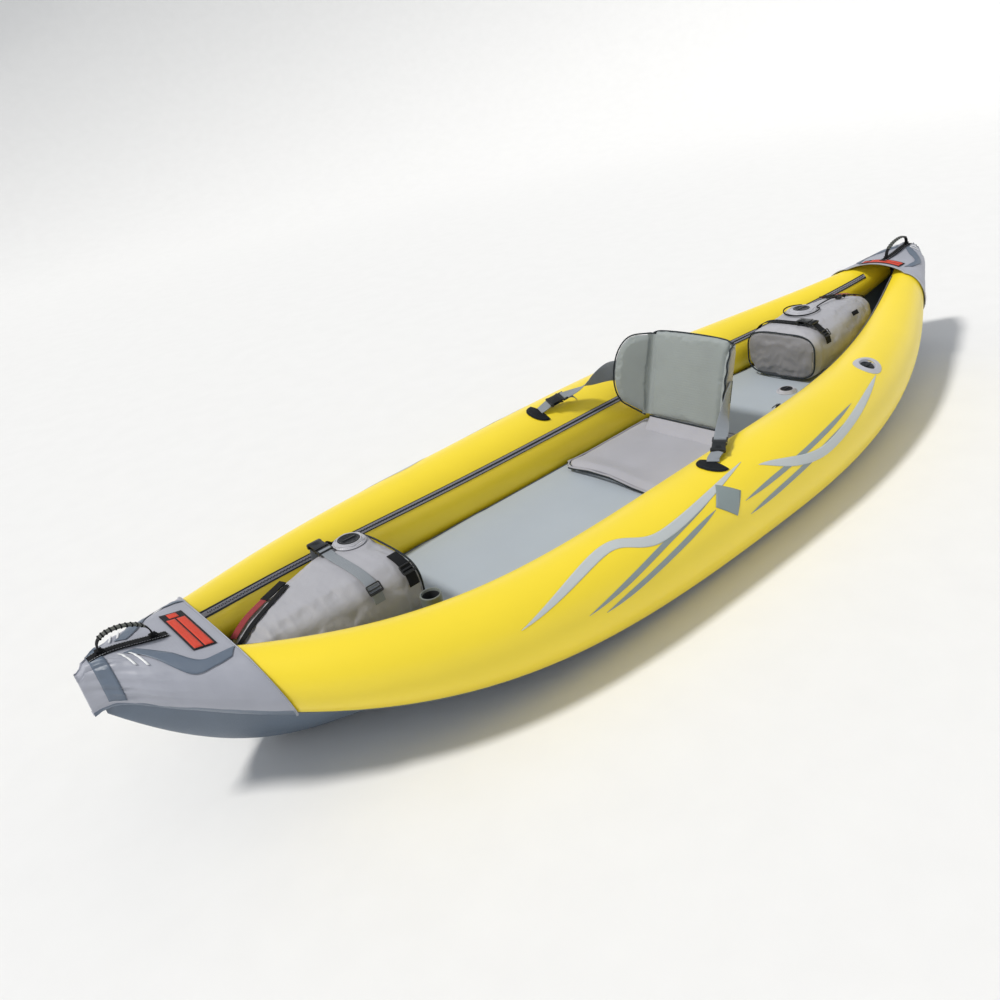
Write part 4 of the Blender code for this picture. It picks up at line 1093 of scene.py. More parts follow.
def build_nose_tab(end, word):
    """The folded ends of the cover sewn together at the nose."""
    x = end * (HALF_LENGTH - 0.006)
    centre = (cap_point(x, 0.0) + Vector((x, 0, lobe_point(1, x, 150).z))) / 2
    path = []
    for i in range(15):
        share = i / 14
        z = centre.z + 0.034 * (1 - 2 * share)
        y = 0.0045 * math.sin(share * 7.0) * end
        path.append(Vector((x - end * 0.003 * math.sin(share * math.pi), y, z)))
    fold = Shape().sweep(path, [Vector((0, 1, 0))] * len(path), strap_section(0.010, 0.0052, 0.002))
    fold.make(f"{word}_nose_fold", "cap_grey", "hull")


# ---------------------------------------------------------------- bottom
def build_bottom():
    """The bottom skin: flat under the boat, rising to a keel at each end."""
    reach = CAP_CLEARANCE + SKIN_THICKNESS - TOUCH
    count = 150
    rows = []
    for i in range(count + 1):
        x = -1.455 + 2.91 * i / count
        under_cap = smoothstep(abs(x), 1.17, 1.24)
        first = 158 - 10 * under_cap
        half = []
        for k in range(9):
            degrees = first + (180 - first) * k / 8
            lift = reach - 0.0022 * under_cap * (1 - k / 8)
            half.append(lobe_point(1, x, degrees, lift))
        half += [skin_point(x, 1 - k / 14) for k in range(1, 14)]
        row = half + [skin_point(x, 0.0)] + [Vector((p.x, -p.y, p.z)) for p in reversed(half)]
        rows.append([Vector((p.x, p.y, p.z if p.z > FLAT_BELOW else 0.0)) for p in row])
    skin = Shape().grid(rows).make("hull_bottom", "bottom_grey", outward=False)
    orient(skin, False)
    thicken(skin, SKIN_THICKNESS)
    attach(skin, "hull")
    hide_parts("bottom_skin")


def build_floor():
    """The inflated floor: rounded shoulders, shallow channels along its top, and a seam at each side."""
    first, last = FLOOR_SPAN
    count = 84
    rows = []
    for i in range(count + 1):
        share = i / count
        x = first + (last - first) * share
        half = floor_half_width(x)
        y = skin_point(x, 1.0).y
        end = min(min(share, 1 - share) * 30, 1.0)
        drop = 0.030 * (1 - math.sqrt(max(1 - (1 - end) ** 2, 0.0)))
        top = FLOOR_TOP - drop
        edge = half * 0.96 / y
        under = [skin_point(x, edge * (1 - 2 * k / 12), SKIN_THICKNESS + 0.010) for k in range(13)]
        side_bottom = min(under[0].z + 0.02, top - 0.02)
        shoulder = 0.014
        row = [Vector((x, half, side_bottom)), Vector((x, half, (side_bottom + top - shoulder) / 2))]
        arc = [(half - shoulder + shoulder * math.cos(math.radians(a)),
                top - shoulder + shoulder * math.sin(math.radians(a))) for a in range(0, 91, 15)]
        row += [Vector((x, a, b)) for a, b in arc]
        row += [Vector((x, (half - shoulder) * t, top - 0.0005 * abs(math.cos(5 * math.pi * t)) ** 8 * end))
                for t in between(0.92, -0.92, 22)]
        row += [Vector((x, -a, b)) for a, b in reversed(arc)]
        row += [Vector((x, -half, (side_bottom + top - shoulder) / 2)), Vector((x, -half, side_bottom))]
        rows.append(row + under[::-1])
    shape = Shape().grid(rows, wrap=True, capped=True)
    floor = shape.make("floor_cushion", "floor_grey", "hull", ["floor_panel"])
    for side, word in SIDES:
        xs = between(first + 0.03, last - 0.03, 90)
        path = [Vector((x, side * (floor_half_width(x) - 0.0035), FLOOR_TOP - 0.0030)) for x in xs]
        Shape().cord(path, 0.0016, sides=8).make(f"{word}_floor_seam", "cap_slate", "hull")


# ---------------------------------------------------------------- handles
def build_handles():
    """A sewn base strip and an arched loop with a ribbed rubber grip at each end."""
    for end, word in ENDS:
        handle = HANDLES[end]
        first, last = handle["strip"]
        xs = between(first, last, 30)
        strip = Shape()
        path = [Vector((x, 0.0, deck_height(x) + STRIP_LIFT)) for x in xs]
        strip.sweep(path, [UP] * len(path), strap_section(STRIP_WIDTH, 0.0022), kind=0)
        for sign in (-1, 1):
            line = [p + Vector((0, sign * STRIP_WIDTH * 0.40, 0)) for p in path]
            strip.stitches(line, [UP] * len(line), 0.0012, kind=1)
        for x in handle["feet"]:
            seat = Vector((x, 0, deck_height(x) + STRIP_LIFT + 0.0026))
            strip.block((0.018, HANDLE_WIDTH, 0.0022), Matrix.Translation(seat), 0.0006, kind=0)
        strip.make(f"{word}_handle_base", ["webbing_black", "thread_light"], "hull", [f"{word}_handle_strip"])
        feet = [Vector((x, 0.0, deck_height(x) + STRIP_LIFT + FOOT_LIFT)) for x in handle["feet"]]
        middle = (feet[0] + feet[1]) / 2
        along = (feet[1] - feet[0]) / 2
        arch, ups = [], []
        for i in range(49):
            angle = math.pi * i / 48
            ups.append(UP * math.sin(angle) - along.normalized() * math.cos(angle))
            rise = Vector((0, 0, HANDLE_RISE * math.sin(angle) ** 0.8))
            arch.append(middle + rise - along * math.cos(angle))
        grip = Shape()
        grip.sweep(arch, ups, strap_section(HANDLE_WIDTH * 0.86, HANDLE_THICKNESS * 0.6, 0.001), kind=0)
        grip.sweep(arch[9:40], ups[9:40], strap_section(HANDLE_WIDTH, HANDLE_THICKNESS, 0.0016), kind=1)
        for i in range(11, 39, 3):
            forward = (arch[i + 1] - arch[i - 1]).normalized()
            seat = frame_matrix(arch[i], forward, ups[i])
            grip.block((0.0030, HANDLE_WIDTH * 1.05, HANDLE_THICKNESS * 1.35), seat, 0.0008, kind=0)
        for foot in (arch[0], arch[-1]):
            seat = Matrix.Translation(foot + Vector((0, 0, -0.0012)))
            grip.block((0.013, HANDLE_WIDTH * 0.95, 0.0034), seat, 0.0010, kind=0)
        grip.make(f"{word}_carry_grip", ["webbing_black", "handle_rubber"], f"{word}_handle",
                  [f"{word}_handle_loop"])


# ---------------------------------------------------------------- seat
def rounded_rectangle(x0, x1, y0, y1, corner, steps=6):
    points = []
    corners = [(x1 - corner, y1 - corner, 0), (x0 + corner, y1 - corner, 90),
               (x0 + corner, y0 + corner, 180), (x1 - corner, y0 + corner, 270)]
    for cx, cy, start in corners:
        for i in range(steps + 1):
            angle = math.radians(start + 90 * i / steps)
            points.append((cx + corner * math.cos(angle), cy + corner * math.sin(angle)))
    return points


def seat_curl(x, y):
    """How far the seat pad's front edge lifts: a low arch across it, and a little more at starboard."""
    front = smoothstep(x, 0.070, 0.165)
    corner = smoothstep(-y, 0.120, 0.190)
    arch = 1 - smoothstep(abs(y + 0.035), 0.0, 0.165)
    return front * (0.003 + 0.017 * arch + 0.005 * corner)


def build_seat_pad():
    """The stuffed pad, thinner towards its edges and curled up in front, with cord round its edge."""
    pad = SEAT_PAD
    x0, x1 = pad["x"]
    half = pad["half_width"]
    floor = FLOOR_TOP + TOUCH
    inset = 0.003
    outline = rounded_rectangle(x0 + inset, x1 - inset, -half + inset, half - inset, pad["corner"])
    level = floor + pad["thickness"] / 2 - 0.001
    shape = Shape().plate(outline, pad["thickness"] - 0.006, shift(0, 0, level), 0.004)
    cushion = pillow(shape.make("seat_cushion", "seat_grey"), 0.004)

    def move(co, normal):
        inner = min(x1 - co.x, co.x - x0, half - abs(co.y))
        thin = 1 - 0.45 * (1 - smoothstep(inner, 0.0, 0.035))
        z = floor + 0.0002 + (co.z - floor) * thin
        z = max(z, floor + 0.0002)
        soft = 0.0010 * noise.noise(co * 16)
        return Vector((0, 0, z - co.z + seat_curl(co.x, co.y) + soft * (1 if co.z > floor + 0.01 else 0)))
    displace(cushion, move)
    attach(cushion, "hull")
    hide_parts("seat_pad")
    border = rounded_rectangle(x0 + 0.002, x1 - 0.002, -half + 0.002, half - 0.002, pad["corner"])
    border = smooth_path([Vector((x, y, 0)) for x, y in border], 4, closed=True)
    edge = Shape()
    # the lower cord is the pad's dark binding, made thicker so it also stands for painted shade in the gap
    # under the lifted front edge
    for kind, (height, radius) in enumerate(((0.0066, 0.0022), (0.0030, 0.0032))):
        path = [Vector((p.x, p.y, floor + height + seat_curl(p.x, p.y))) for p in border]
        edge.cord(path, radius, kind=kind, closed=True, sides=10)
    edge.make("seat_cushion_edge", ["seat_grey", "piping"], "hull")


def back_matrix():
    lean = math.radians(BACK_LEAN)
    up = Vector((-math.sin(lean), 0, math.cos(lean)))
    port = Vector((0, 1, 0))
    turn = Matrix((port, up, port.cross(up))).transposed().to_4x4()
    return Matrix.Translation(BACK_HINGE) @ turn


def wing_outline(grow=0.0):
    points = [(0.0, 0.004 - grow), (0.0, BACK_HEIGHT - 0.006 + grow)]
    for i in range(15):
        angle = math.radians(80 - 140 * i / 14)
        reach = WING_LENGTH * (0.30 + 0.70 * math.cos(angle) ** 0.8) + grow
        points.append((reach, WING_MIDDLE + (0.105 + grow) * math.sin(angle)))
    points.append((WING_LENGTH * 0.45, 0.026 - grow))
    return points


def crease_matrix(side):
    offset = (side * (BACK_HALF_WIDTH + 0.004), 0, (WING_THICKNESS - BACK_THICKNESS) / 2)
    return back_matrix() @ Matrix.Translation(offset)


def wing_matrix(side):
    turn = math.radians(WING_TURN[side])
    fold = Matrix.Rotation(-side * turn, 4, "Y") @ shift(side * WING_OFFSET, 0, 0)
    return crease_matrix(side) @ fold


def panel_outline(grow=0.0):
    half = BACK_HALF_WIDTH + grow
    arch = [(half * math.cos(math.radians(a)), BACK_HEIGHT + grow + 0.008 * math.sin(math.radians(a)))
            for a in range(20, 161, 10)]
    outline = [(-half * 0.94, 0.006 - grow), (half * 0.94, 0.006 - grow), (half, BACK_HEIGHT - 0.008)] + arch
    return outline + [(-half, BACK_HEIGHT - 0.008)]


def build_backrest():
    """The padded panel with piping along its top and foot, its wings and the creases between them."""
    place = back_matrix()
    shape = Shape().plate(panel_outline(0.0025), BACK_THICKNESS - 0.007, place, 0.006)
    panel = pillow(shape.make("back_cushion", "back_grey"), 0.0040, voxel=0.0045)
    lifted = place.inverted()

    def pucker(co, normal):
        local = lifted @ co
        rim = 1 - smoothstep(min(BACK_HEIGHT - local.y, local.y), 0.0, 0.03)
        return normal * (0.0008 * rim * folds(co, 0.03, (1, 1, 1), 4.0) + 0.0004 * noise.noise(co * 22))
    displace(panel, pucker)
    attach(panel, "backrest")
    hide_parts("backrest_panel")
    corner = (BACK_HALF_WIDTH + 0.005, BACK_HEIGHT - 0.004)
    top = [corner] + panel_outline(-0.0006)[3:-1] + [(-corner[0], corner[1])]
    foot = [(-BACK_HALF_WIDTH * 0.95, 0.0045), (BACK_HALF_WIDTH * 0.95, 0.0045)]
    rim = Shape()
    for line, level in ((top, 0.003), (foot, 0.0075)):
        rim.cord([place @ Vector((p.x, p.y, level)) for p in edge_path(line)], PIPING_RADIUS, sides=10)
    rim.make("back_piping", "piping", "backrest")
    for side, word in SIDES:
        build_wing(side, word)
    build_foot_flap(place)


def build_foot_flap(place):
    """The fabric that joins the backrest's foot to the seat pad."""
    start = Vector((-0.118, 0.0, FLOOR_TOP + TOUCH + SEAT_PAD["thickness"] - 0.0045))
    end = place @ Vector((0, 0.003, 0.006))
    rows = []
    for y in between(-BACK_HALF_WIDTH * 0.95, BACK_HALF_WIDTH * 0.95, 30):
        low = start + Vector((0, y, -0.001))
        high = end + Vector((0, y, 0))
        sag = -0.002 + 0.0012 * noise.noise(Vector((y * 20, 0.4, 0.0)))
        middle = low.lerp(high, 0.5) + Vector((0, 0, sag))
        rows.append(smooth_path([low, middle, high], 5))
    sheet = Shape().grid(rows).make("back_foot_flap", "seat_grey", outward=False)
    flap = thicken(sheet, 0.0022, 0.0)
    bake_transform(flap)


def build_wing(side, word):
    """A padded wing with a lining behind and piping round its free edge."""
    place = wing_matrix(side)
    outline = [(side * x, y) for x, y in wing_outline(-0.001)]
    shape = Shape().plate(outline, WING_THICKNESS - 0.005, place, 0.0045)
    wing = pillow(shape.make(f"{word}_wing_cushion", "back_grey"), 0.0030, voxel=0.004)
    displace(wing, lambda co, normal: normal * 0.0004 * noise.noise(co * 24))
    behind = place.to_3x3() @ Vector((0, 0, -1))
    wing.data.materials.append(material_for("back_lining"))
    for polygon in wing.data.polygons:
        polygon.material_index = 1 if polygon.normal.dot(behind) > 0.35 else 0
    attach(wing, f"{word}_wing")
    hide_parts(f"{word}_backrest_wing")
    outline = wing_outline(0.0006)
    line = edge_path([(side * x, y) for x, y in outline[1:] + outline[:1]])
    ripple = 0.0014 if side == 1 else 0.0005
    path = [place @ Vector((p.x, p.y, ripple * math.sin(i * 0.9))) for i, p in enumerate(line)]
    rim = Shape().cord(path, WING_PIPING_RADIUS, sides=10)
    rim.make(f"{word}_wing_piping", "piping", f"{word}_wing")
    build_crease(side, word)


def build_crease(side, word):
    """The fabric that joins the panel to a wing, curved round the wing's fold."""
    hinge, wing = crease_matrix(side), wing_matrix(side)
    rows = []
    for y in between(0.008, BACK_HEIGHT - 0.008, 40):
        ring = []
        for face, order in ((1, 1), (-1, -1)):
            a = hinge @ Vector((-side * 0.014, y, face * 0.0100))
            b = hinge @ Vector((0, y, face * 0.0066))
            c = wing @ Vector((side * 0.010, y, face * 0.0072))
            ring += smooth_path([a, b, c], 5)[::order]
        rows.append(ring)
    crease = Shape().grid(rows, wrap=True, capped=True).make(f"{word}_wing_crease_fabric", "back_grey")
    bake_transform(crease)
    top = [hinge @ Vector((-side * 0.014, BACK_HEIGHT - 0.003, 0.001)),
           hinge @ Vector((0, BACK_HEIGHT - 0.006, 0)),
           wing @ Vector((side * 0.008, BACK_HEIGHT - 0.007, 0))]
    binding = Shape().cord(smooth_path(top, 8), PIPING_RADIUS, sides=10)
    bound = binding.make(f"{word}_crease_piping", "piping")
    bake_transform(bound)


def seat_strap_points(side):
    """Where a strap leaves its patch, bends round the wing's edge and is sewn on."""
    anchor = on_tube(side, PATCH_X[side] - ANCHOR_SETBACK, PATCH_ANGLE[side], STRAP_ANCHOR_LIFT)
    outer = -WING_THICKNESS / 2 - 0.0030
    bend = wing_matrix(side) @ Vector((side * (WING_LENGTH + 0.010), STRAP_UP_WING, outer))
    end = wing_matrix(side) @ Vector((side * WING_LENGTH * 0.55, STRAP_UP_WING, outer))
    return anchor, bend, end


def build_seat_straps():
    """Each strap runs from its buckle to the wing in two halves: the lower one from the buckle, the upper one
    bent round the wing's edge.
    """
    section = strap_section(SEAT_STRAP_WIDTH, WEBBING)
    for side, word in SIDES:
        anchor, bend, end = seat_strap_points(side)
        along = (bend - anchor).normalized()
        normal = tube_normal(side, PATCH_X[side], PATCH_ANGLE[side])
        outward = wing_matrix(side).to_3x3() @ Vector((0, 0, -1))
        plug_end = SOCKET_START + BUCKLE_SOCKET[0] - SOCKET_BACK + PLUG_REACH
        start = anchor + along * (plug_end - 0.003)
        middle = start.lerp(bend, 0.5)
        up_middle = normal.lerp(outward, 0.5)
        shares = between(0, 1, 16)
        path = [start.lerp(middle, s) - UP * 0.0025 * math.sin(math.pi * s) for s in shares]
        near = Shape().sweep(path, [normal.lerp(up_middle, s) for s in shares], section)
        strap = near.make(f"{word}_strap_lower", "webbing_grey", None, [f"{word}_seat_strap"])
        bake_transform(strap)
        bent = smooth_path([middle, bend, end], 14)
        ups = [up_middle.lerp(outward, min(i / 14, 1.0)) for i in range(len(bent))]
        widths = [1 + (STRAP_FLARE - 1) * smoothstep(i / len(bent), 0.0, 0.6) for i in range(len(bent))]
        far = Shape().sweep(bent, ups, section, kind=0, widths=widths)
        seam = frame_matrix(end, bent[-1] - bent[-4], outward)
        far.block((0.010, SEAT_STRAP_WIDTH * STRAP_FLARE, 0.0030), seam, 0.0008, kind=1)
        strap = far.make(f"{word}_strap_upper", ["webbing_grey", "piping"])
        tuple(bend)
        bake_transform(strap)
        build_patch(side, word, anchor, along, normal)
        build_buckle(f"{word}_seat_buckle", anchor + along * SOCKET_START, along, normal,
                     f"{word}_seat_buckle_plug", "webbing_grey")
        tip = start + along * 0.004 - normal * 0.0032
        drop = [tip, tip + along * 0.018 - normal * 0.006, tip + along * 0.034 - normal * 0.022]
        curl = smooth_path(drop, 6)
        tail = Shape().sweep(curl, [normal] * len(curl), strap_section(SEAT_STRAP_WIDTH * 0.9, WEBBING))
        tail.make(f"{word}_strap_tail", "webbing_grey", f"{word}_seat_buckle_plug")


def build_patch(side, word, anchor, along, normal):
    """A welded half-round tab, sewn round its edge, and the short loop that holds the buckle."""
    patch_x, patch_angle = PATCH_X[side], PATCH_ANGLE[side]
    tube = tube_frame(side, patch_x)[4]
    rows = []
    for i in range(13):
        run = PATCH_RADIUS * math.sin(math.pi / 2 * i / 12) * 0.985
        half = math.sqrt(max(PATCH_RADIUS ** 2 - run ** 2, 0.00002))
        row = []
        for j in range(17):
            turn = math.degrees(half * (j / 8 - 1) / tube)
            row.append(on_tube(side, patch_x + run, patch_angle + turn, 0.0022))
        rows.append(row)
    patch = laid(Shape().grid(rows), f"{word}_patch", "patch_black", 0.0018)
    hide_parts(f"{word}_seat_patch")
    line = []
    for degrees in range(-80, 81, 8):
        angle = math.radians(degrees)
        reach = PATCH_RADIUS * 0.86
        turn = math.degrees(reach * math.sin(angle) / tube)
        line.append(on_tube(side, patch_x + reach * math.cos(angle) * 0.98, patch_angle + turn, 0.0033))
    Shape().cord(line, 0.0009, sides=6).make(f"{word}_patch_stitch", "piping", "hull")
    foot = on_tube(side, patch_x + 0.004, patch_angle, 0.0040)
    path = smooth_path([foot, foot + along * 0.012 + normal * 0.003, anchor + along * 0.016], 8)
    loop = Shape().sweep(path, [normal] * len(path), strap_section(SEAT_STRAP_WIDTH * 0.9, 0.0024))
    loop.make(f"{word}_anchor_loop", "webbing_grey", "hull")


# ---------------------------------------------------------------- buckles
def build_buckle(name, origin, along, up, plug_body, webbing):
    """A side-release buckle: a waisted socket with ridges and a plug with two sprung prongs."""
    place = frame_matrix(origin, along, up)
    length, width, height = BUCKLE_SOCKET
    half = width / 2
    back, front = -SOCKET_BACK, length - SOCKET_BACK
    socket = Shape()
    flank = [(back, half * 0.86), (back + 0.005, half), (back + 0.010, half * 0.86),
             (front - 0.009, half * 0.86), (front - 0.003, half), (front, half * 0.98)]
    mirrored = [(x, -y) for x, y in reversed(flank)]
    upper = mirrored[-1:] + flank + mirrored[:-1]
    for level in (height / 2 - 0.0010, -height / 2 + 0.0010):
        socket.plate(upper, 0.0020, place @ shift(0, 0, level), 0.0007)
    for sign in (-1, 1):
        socket.block((0.007, 0.003, height - 0.0018),
                     place @ shift(back + 0.0055, sign * (half - 0.0017), 0), 0.0006)
    socket.block((0.004, width - 0.004, height - 0.002), place @ shift(back + 0.002, 0, 0), 0.001)
    for i in range(3):
        ridge = place @ shift(0.006 + 0.005 * i, 0, height / 2 + 0.0002)
        socket.block((0.0018, width * (0.46 - 0.07 * i), 0.0012), ridge, 0.0004)
    socket.make(f"{name}_body", "buckle_black", "hull", [f"{name}_socket"])
    plug = Shape()
    prong = (width - 0.008) / 2
    thin = height - 0.0060
    for sign in (-1, 1):
        arm = [(front + 0.002, sign * (prong - 0.0028)), (front + 0.002, sign * prong),
               (front - 0.008, sign * (prong + 0.0004)), (front - 0.013, sign * prong),
               (front - 0.016, sign * (prong - 0.0032)), (front - 0.012, sign * (prong - 0.0034))]
        plug.plate(arm, thin, place, 0.0004)
    plug.block((0.018, 0.0034, thin * 0.8), place @ shift(front - 0.007, 0, 0), 0.0005)
    base = [(front + 0.0008, -half), (front + 0.0008, half), (front + 0.006, half), (front + 0.006, -half)]
    plug.plate(base, thin * 1.2, place, 0.0007)
    for sign in (-1, 1):
        seat = place @ shift(front + 0.010, sign * (half - 0.0015), 0)
        plug.block((0.014, 0.0030, thin * 1.2), seat, 0.0006)
    for step in (0.0105, 0.0155):
        plug.block((0.0026, width - 0.002, thin), place @ shift(front + step, 0, 0.0002), 0.0006)
    fold = ((0.0165, 0.0024), (0.010, 0.0036), (0.0078, 0.0012), (0.009, -0.0022), (0.018, -0.0026))
    route = smooth_path([place @ Vector((front + x, 0, z)) for x, z in fold], 5)
    lifted = [(place.to_3x3() @ Vector((-0.6, 0, 1))) for _ in route]
    plug.sweep(route, lifted, strap_section(width - 0.007, 0.0012, 0.0004), kind=1)
    plug.make(f"{name}_prongs", ["buckle_black", webbing], plug_body, [f"{name}_plug"])


def ladder_lock(name, place, width):
    """A flat slider: a frame with a middle bar and ridged tail."""
    shape = Shape()
    half, reach = width / 2 + 0.003, 0.010
    frame_line = rounded_rectangle(-reach, reach, -half, half, 0.003, 3)
    route = smooth_path([place @ Vector((x, y, 0)) for x, y in frame_line], 2, closed=True)
    shape.sweep(route, [place.to_3x3() @ UP] * len(route), round_section(0.0017, 8), closed=True)
    shape.block((0.003, 2 * half, 0.0028), place, 0.0008)
    for i in range(2):
        shape.block((0.0022, 2 * half - 0.002, 0.0034), place @ shift(reach - 0.003 * i, 0, 0.001), 0.0008)
    shape.make(name, "buckle_black", "hull")


# ---------------------------------------------------------------- valves
def build_tube_valves():
    """A welded collar round each pocket, and the cap with its grip bar and ribs."""
    for side, word in SIDES:
        normal = tube_normal(side, VALVE_X, VALVE_ANGLE)
        seat = facing_matrix(on_tube(side, VALVE_X, VALVE_ANGLE), normal)
        rows = []
        profile = [(0.0246, -0.0030), (0.0250, 0.0024), (0.0262, 0.0034), (0.0285, 0.0036), (0.0300, 0.0026),
                   (0.0335, 0.0022), (0.0385, 0.0018), (0.0415, 0.0010), (0.0425, -0.0006)]
        for i in range(72):
            angle = 2 * math.pi * i / 72
            row = []
            for radius, level in profile:
                turn = math.degrees(radius * math.sin(angle) / TUBE_RADIUS)
                row.append(on_tube(side, VALVE_X + radius * math.cos(angle), VALVE_ANGLE + turn, level))
            rows.append(row)
        laid(Shape().grid(rows, loop=True), f"{word}_valve_collar", "valve_grey", 0.0008)
        cap = Shape()
        cap.turned([(0, -0.0014), (0.0068, -0.0016), (0.0092, -0.0026), (0.0170, -0.0030), (0.0184, -0.0038),
                    (0.0192, -0.0052), (0.0192, -0.0118), (0, -0.0118)], seat, 64)
        cap.block((0.030, 0.0052, 0.0056), seat @ shift(0, 0, 0.0004), 0.0014)
        for turn in spins(24):
            cap.block((0.0010, 0.0016, 0.0060), seat @ turn @ shift(0.0190, 0, -0.0080), 0.0003)
        cap.make(f"{word}_valve_screw_cap", "valve_black", f"{word}_valve_cap", [f"{word}_valve_cap"])


def build_twist_valve(name, position, normal, ring_radius, cap_radius, body):
    """A stepped flange with a six-sided moulding, and the cap that turns inside it."""
    seat = facing_matrix(position, normal)
    bore = cap_radius + 0.0008
    ring = Shape()
    ring.turned([(bore, 0.0082), (bore + 0.0026, 0.0085), (bore + 0.0040, 0.0062),
                 (ring_radius - 0.007, 0.0046), (ring_radius - 0.0035, 0.0040),
                 (ring_radius - 0.0020, 0.0022), (ring_radius, 0.0014), (ring_radius, 0.0), (bore, 0.0)],
                seat, 72)
    corners = [(math.cos(math.radians(60 * i + 15)), math.sin(math.radians(60 * i + 15))) for i in range(6)]
    reach = ring_radius * 0.90
    path = []
    for i in range(6):
        (ax, ay), (bx, by) = corners[i], corners[(i + 1) % 6]
        path += [seat @ Vector((reach * (ax + (bx - ax) * t), reach * (ay + (by - ay) * t), 0.0052))
                 for t in (0.08, 0.36, 0.64, 0.92)]
    ring.cord(path, 0.0015, closed=True, sides=8)
    for turn in spins(48):
        ring.block((0.0016, 0.0010, 0.0008), seat @ turn @ shift(ring_radius - 0.0028, 0, 0.0034), 0.0)
    ring.make(f"{name}_flange", "valve_grey", "hull", [f"{name}_body"])
    cap = Shape()
    profile = [(0, 0.0078), (0.55, 0.0080), (0.80, 0.0086), (0.94, 0.0094), (0.97, 0.0080), (1, 0.0010),
               (0, 0.0010)]
    cap.turned([(cap_radius * share, level) for share, level in profile], seat, 64)
    cap.block((cap_radius * 1.45, 0.0048, 0.0030), seat @ shift(0, 0, 0.0086), 0.0010)
    for turn in spins(8, 0.5):
        ray = seat @ turn @ shift(cap_radius * 0.62, 0, 0.0084)
        cap.block((cap_radius * 0.30, 0.0010, 0.0008), ray, 0.0002)
    cap.make(f"{name}_turn_cap", "valve_black", body, [f"{name}_cap"])


def build_bag_valve(word, bag, valve):
    """A twist valve square to the bag's sloping top."""
    x, y, flange = valve
    slope = (bag_section(bag, x + 0.02)[3] - bag_section(bag, x - 0.02)[3]) / 0.04
    facing = Vector((-slope, 0, 1)).normalized()
    spot = Vector((x, y, bag_section(bag, x)[3])) + facing * 0.0016
    build_twist_valve(f"{word}_bag_valve", spot, facing, flange, BAG_CAP_RADIUS, f"{word}_bag_valve_cap")


# ---------------------------------------------------------------- gear bags
def bag_section(bag, x):
    ordered = sorted(bag)
    x = min(max(x, ordered[0][0]), ordered[-1][0])
    for low, high in zip(ordered, ordered[1:]):
        if low[0] <= x <= high[0]:
            share = (x - low[0]) / (high[0] - low[0])
            return [a + (b - a) * share for a, b in zip(low[1:], high[1:])]
    return list(ordered[-1][1:])


def bag_point(bag, x, degrees, lift=0.0):
    starboard, port, bottom, top = bag_section(bag, x)
    angle = math.radians(degrees)
    across, up = math.cos(angle), math.sin(angle)
    power = 0.55
    y = (port + starboard) / 2 + ((port - starboard) / 2 + lift) * math.copysign(abs(across) ** power, across)
    z = (top + bottom) / 2 + ((top - bottom) / 2 + lift) * math.copysign(abs(up) ** power, up)
    return Vector((x, y, z))


def bag_top_point(bag, x, y, lift):
    return Vector((x, y, bag_section(bag, x)[3] + lift))


def bag_centre(bag, x):
    return (bag_point(bag, x, 0) + bag_point(bag, x, 180)) * 0.5


def bag_socket(end):
    """Where the buckle on a bag's strap starts."""
    bag, x = (BOW_BAG, BOW_STRAP_X) if end == 1 else (STERN_BAG, STERN_STRAP_X)
    return bag_top_point(bag, x, BUCKLE_Y[end], BUCKLE_LIFT)


def build_bag(name, bag, valve, strap_xs, seed, node_name):
    """A stuffed dry bag: swollen cloth, pinched where straps cross it, creased towards its gathered end."""
    blunt, tip = bag[0][0], bag[-1][0]
    rows = []
    count = 36
    for i in range(count + 1):
        x = blunt + (tip - blunt) * i / count
        end = min(i, count - i) / 2.0
        inset = 0.0022 + 0.006 * (1 - min(end, 1.0)) ** 2
        rows.append([bag_point(bag, x, 360 * k / 64, -inset) for k in range(64)])
    shape = Shape().grid(rows, wrap=True, capped=True)
    skin = pillow(shape.make(name, "bag_grey"), 0.0036, voxel=0.006)
    valve_x, valve_y, ring = valve

    def crumple(co, normal):
        top = bag_section(bag, co.x)[3]
        towards = (co.x - blunt) / (tip - blunt)
        rear = 1 - smoothstep(towards, 0.0, 0.14)
        front = smoothstep(towards, 0.55, 1.0)
        low = 1 - smoothstep(co.z, 0.16, 0.235)
        pleat = folds(co, 0.040, (1.5, 0.5, 0.35), seed)
        gather = folds(co, 0.050, (0.45, 1.3, 1.3), seed + 4)
        amount = 0.0006 + 0.0012 * rear + 0.0020 * front + 0.0022 * low
        move = normal * amount * (0.6 * pleat + 0.4 * gather)
        for strap_x in strap_xs:
            near = 1 - smoothstep(abs(co.x - strap_x), 0.010, 0.032)
            move -= normal * 0.0018 * near * (1 if co.z > 0.13 else 0)
        flat = 1 - smoothstep(math.hypot(co.x - valve_x, co.y - valve_y), ring - 0.004, ring + 0.022)
        if co.z > top - 0.03:
            level = top - 0.0002
            move = move * (1 - flat) + Vector((0, 0, (level - co.z) * flat))
        return move
    displace(skin, crumple)
    floor = FLOOR_TOP + 0.0012
    for vertex in skin.data.vertices:
        vertex.co.z = max(vertex.co.z, floor if abs(vertex.co.x) < 1.0 else vertex.co.z)
    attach(skin, "hull")
    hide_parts(node_name)
    # the blunt end's faces take the darker copy of the bag fabric: painted shade
    skin.data.materials.append(material_for("bag_end_painted_shade"))
    outward = 1 if blunt > tip else -1
    for polygon in skin.data.polygons:
        face = abs(polygon.center.x - blunt) < 0.016 and polygon.normal.x * outward > 0.6
        polygon.material_index = 1 if face else 0


def bag_band(name, bag, x, start, stop, finish, body="hull", stands_for=(), lead=()):
    """A strap round a bag's section between two angles, led in from any points before it."""
    path = [bag_point(bag, x, a, STRAP_LIFT) for a in between(start, stop, 40)]
    centre = bag_centre(bag, x)
    if lead:
        path = smooth_path(list(lead) + [path[0]], 8) + path[1:]
    shape = Shape().sweep(path, [p - centre for p in path], strap_section(STRAP_WIDTH, WEBBING))
    return shape.make(name, finish, body, stands_for)


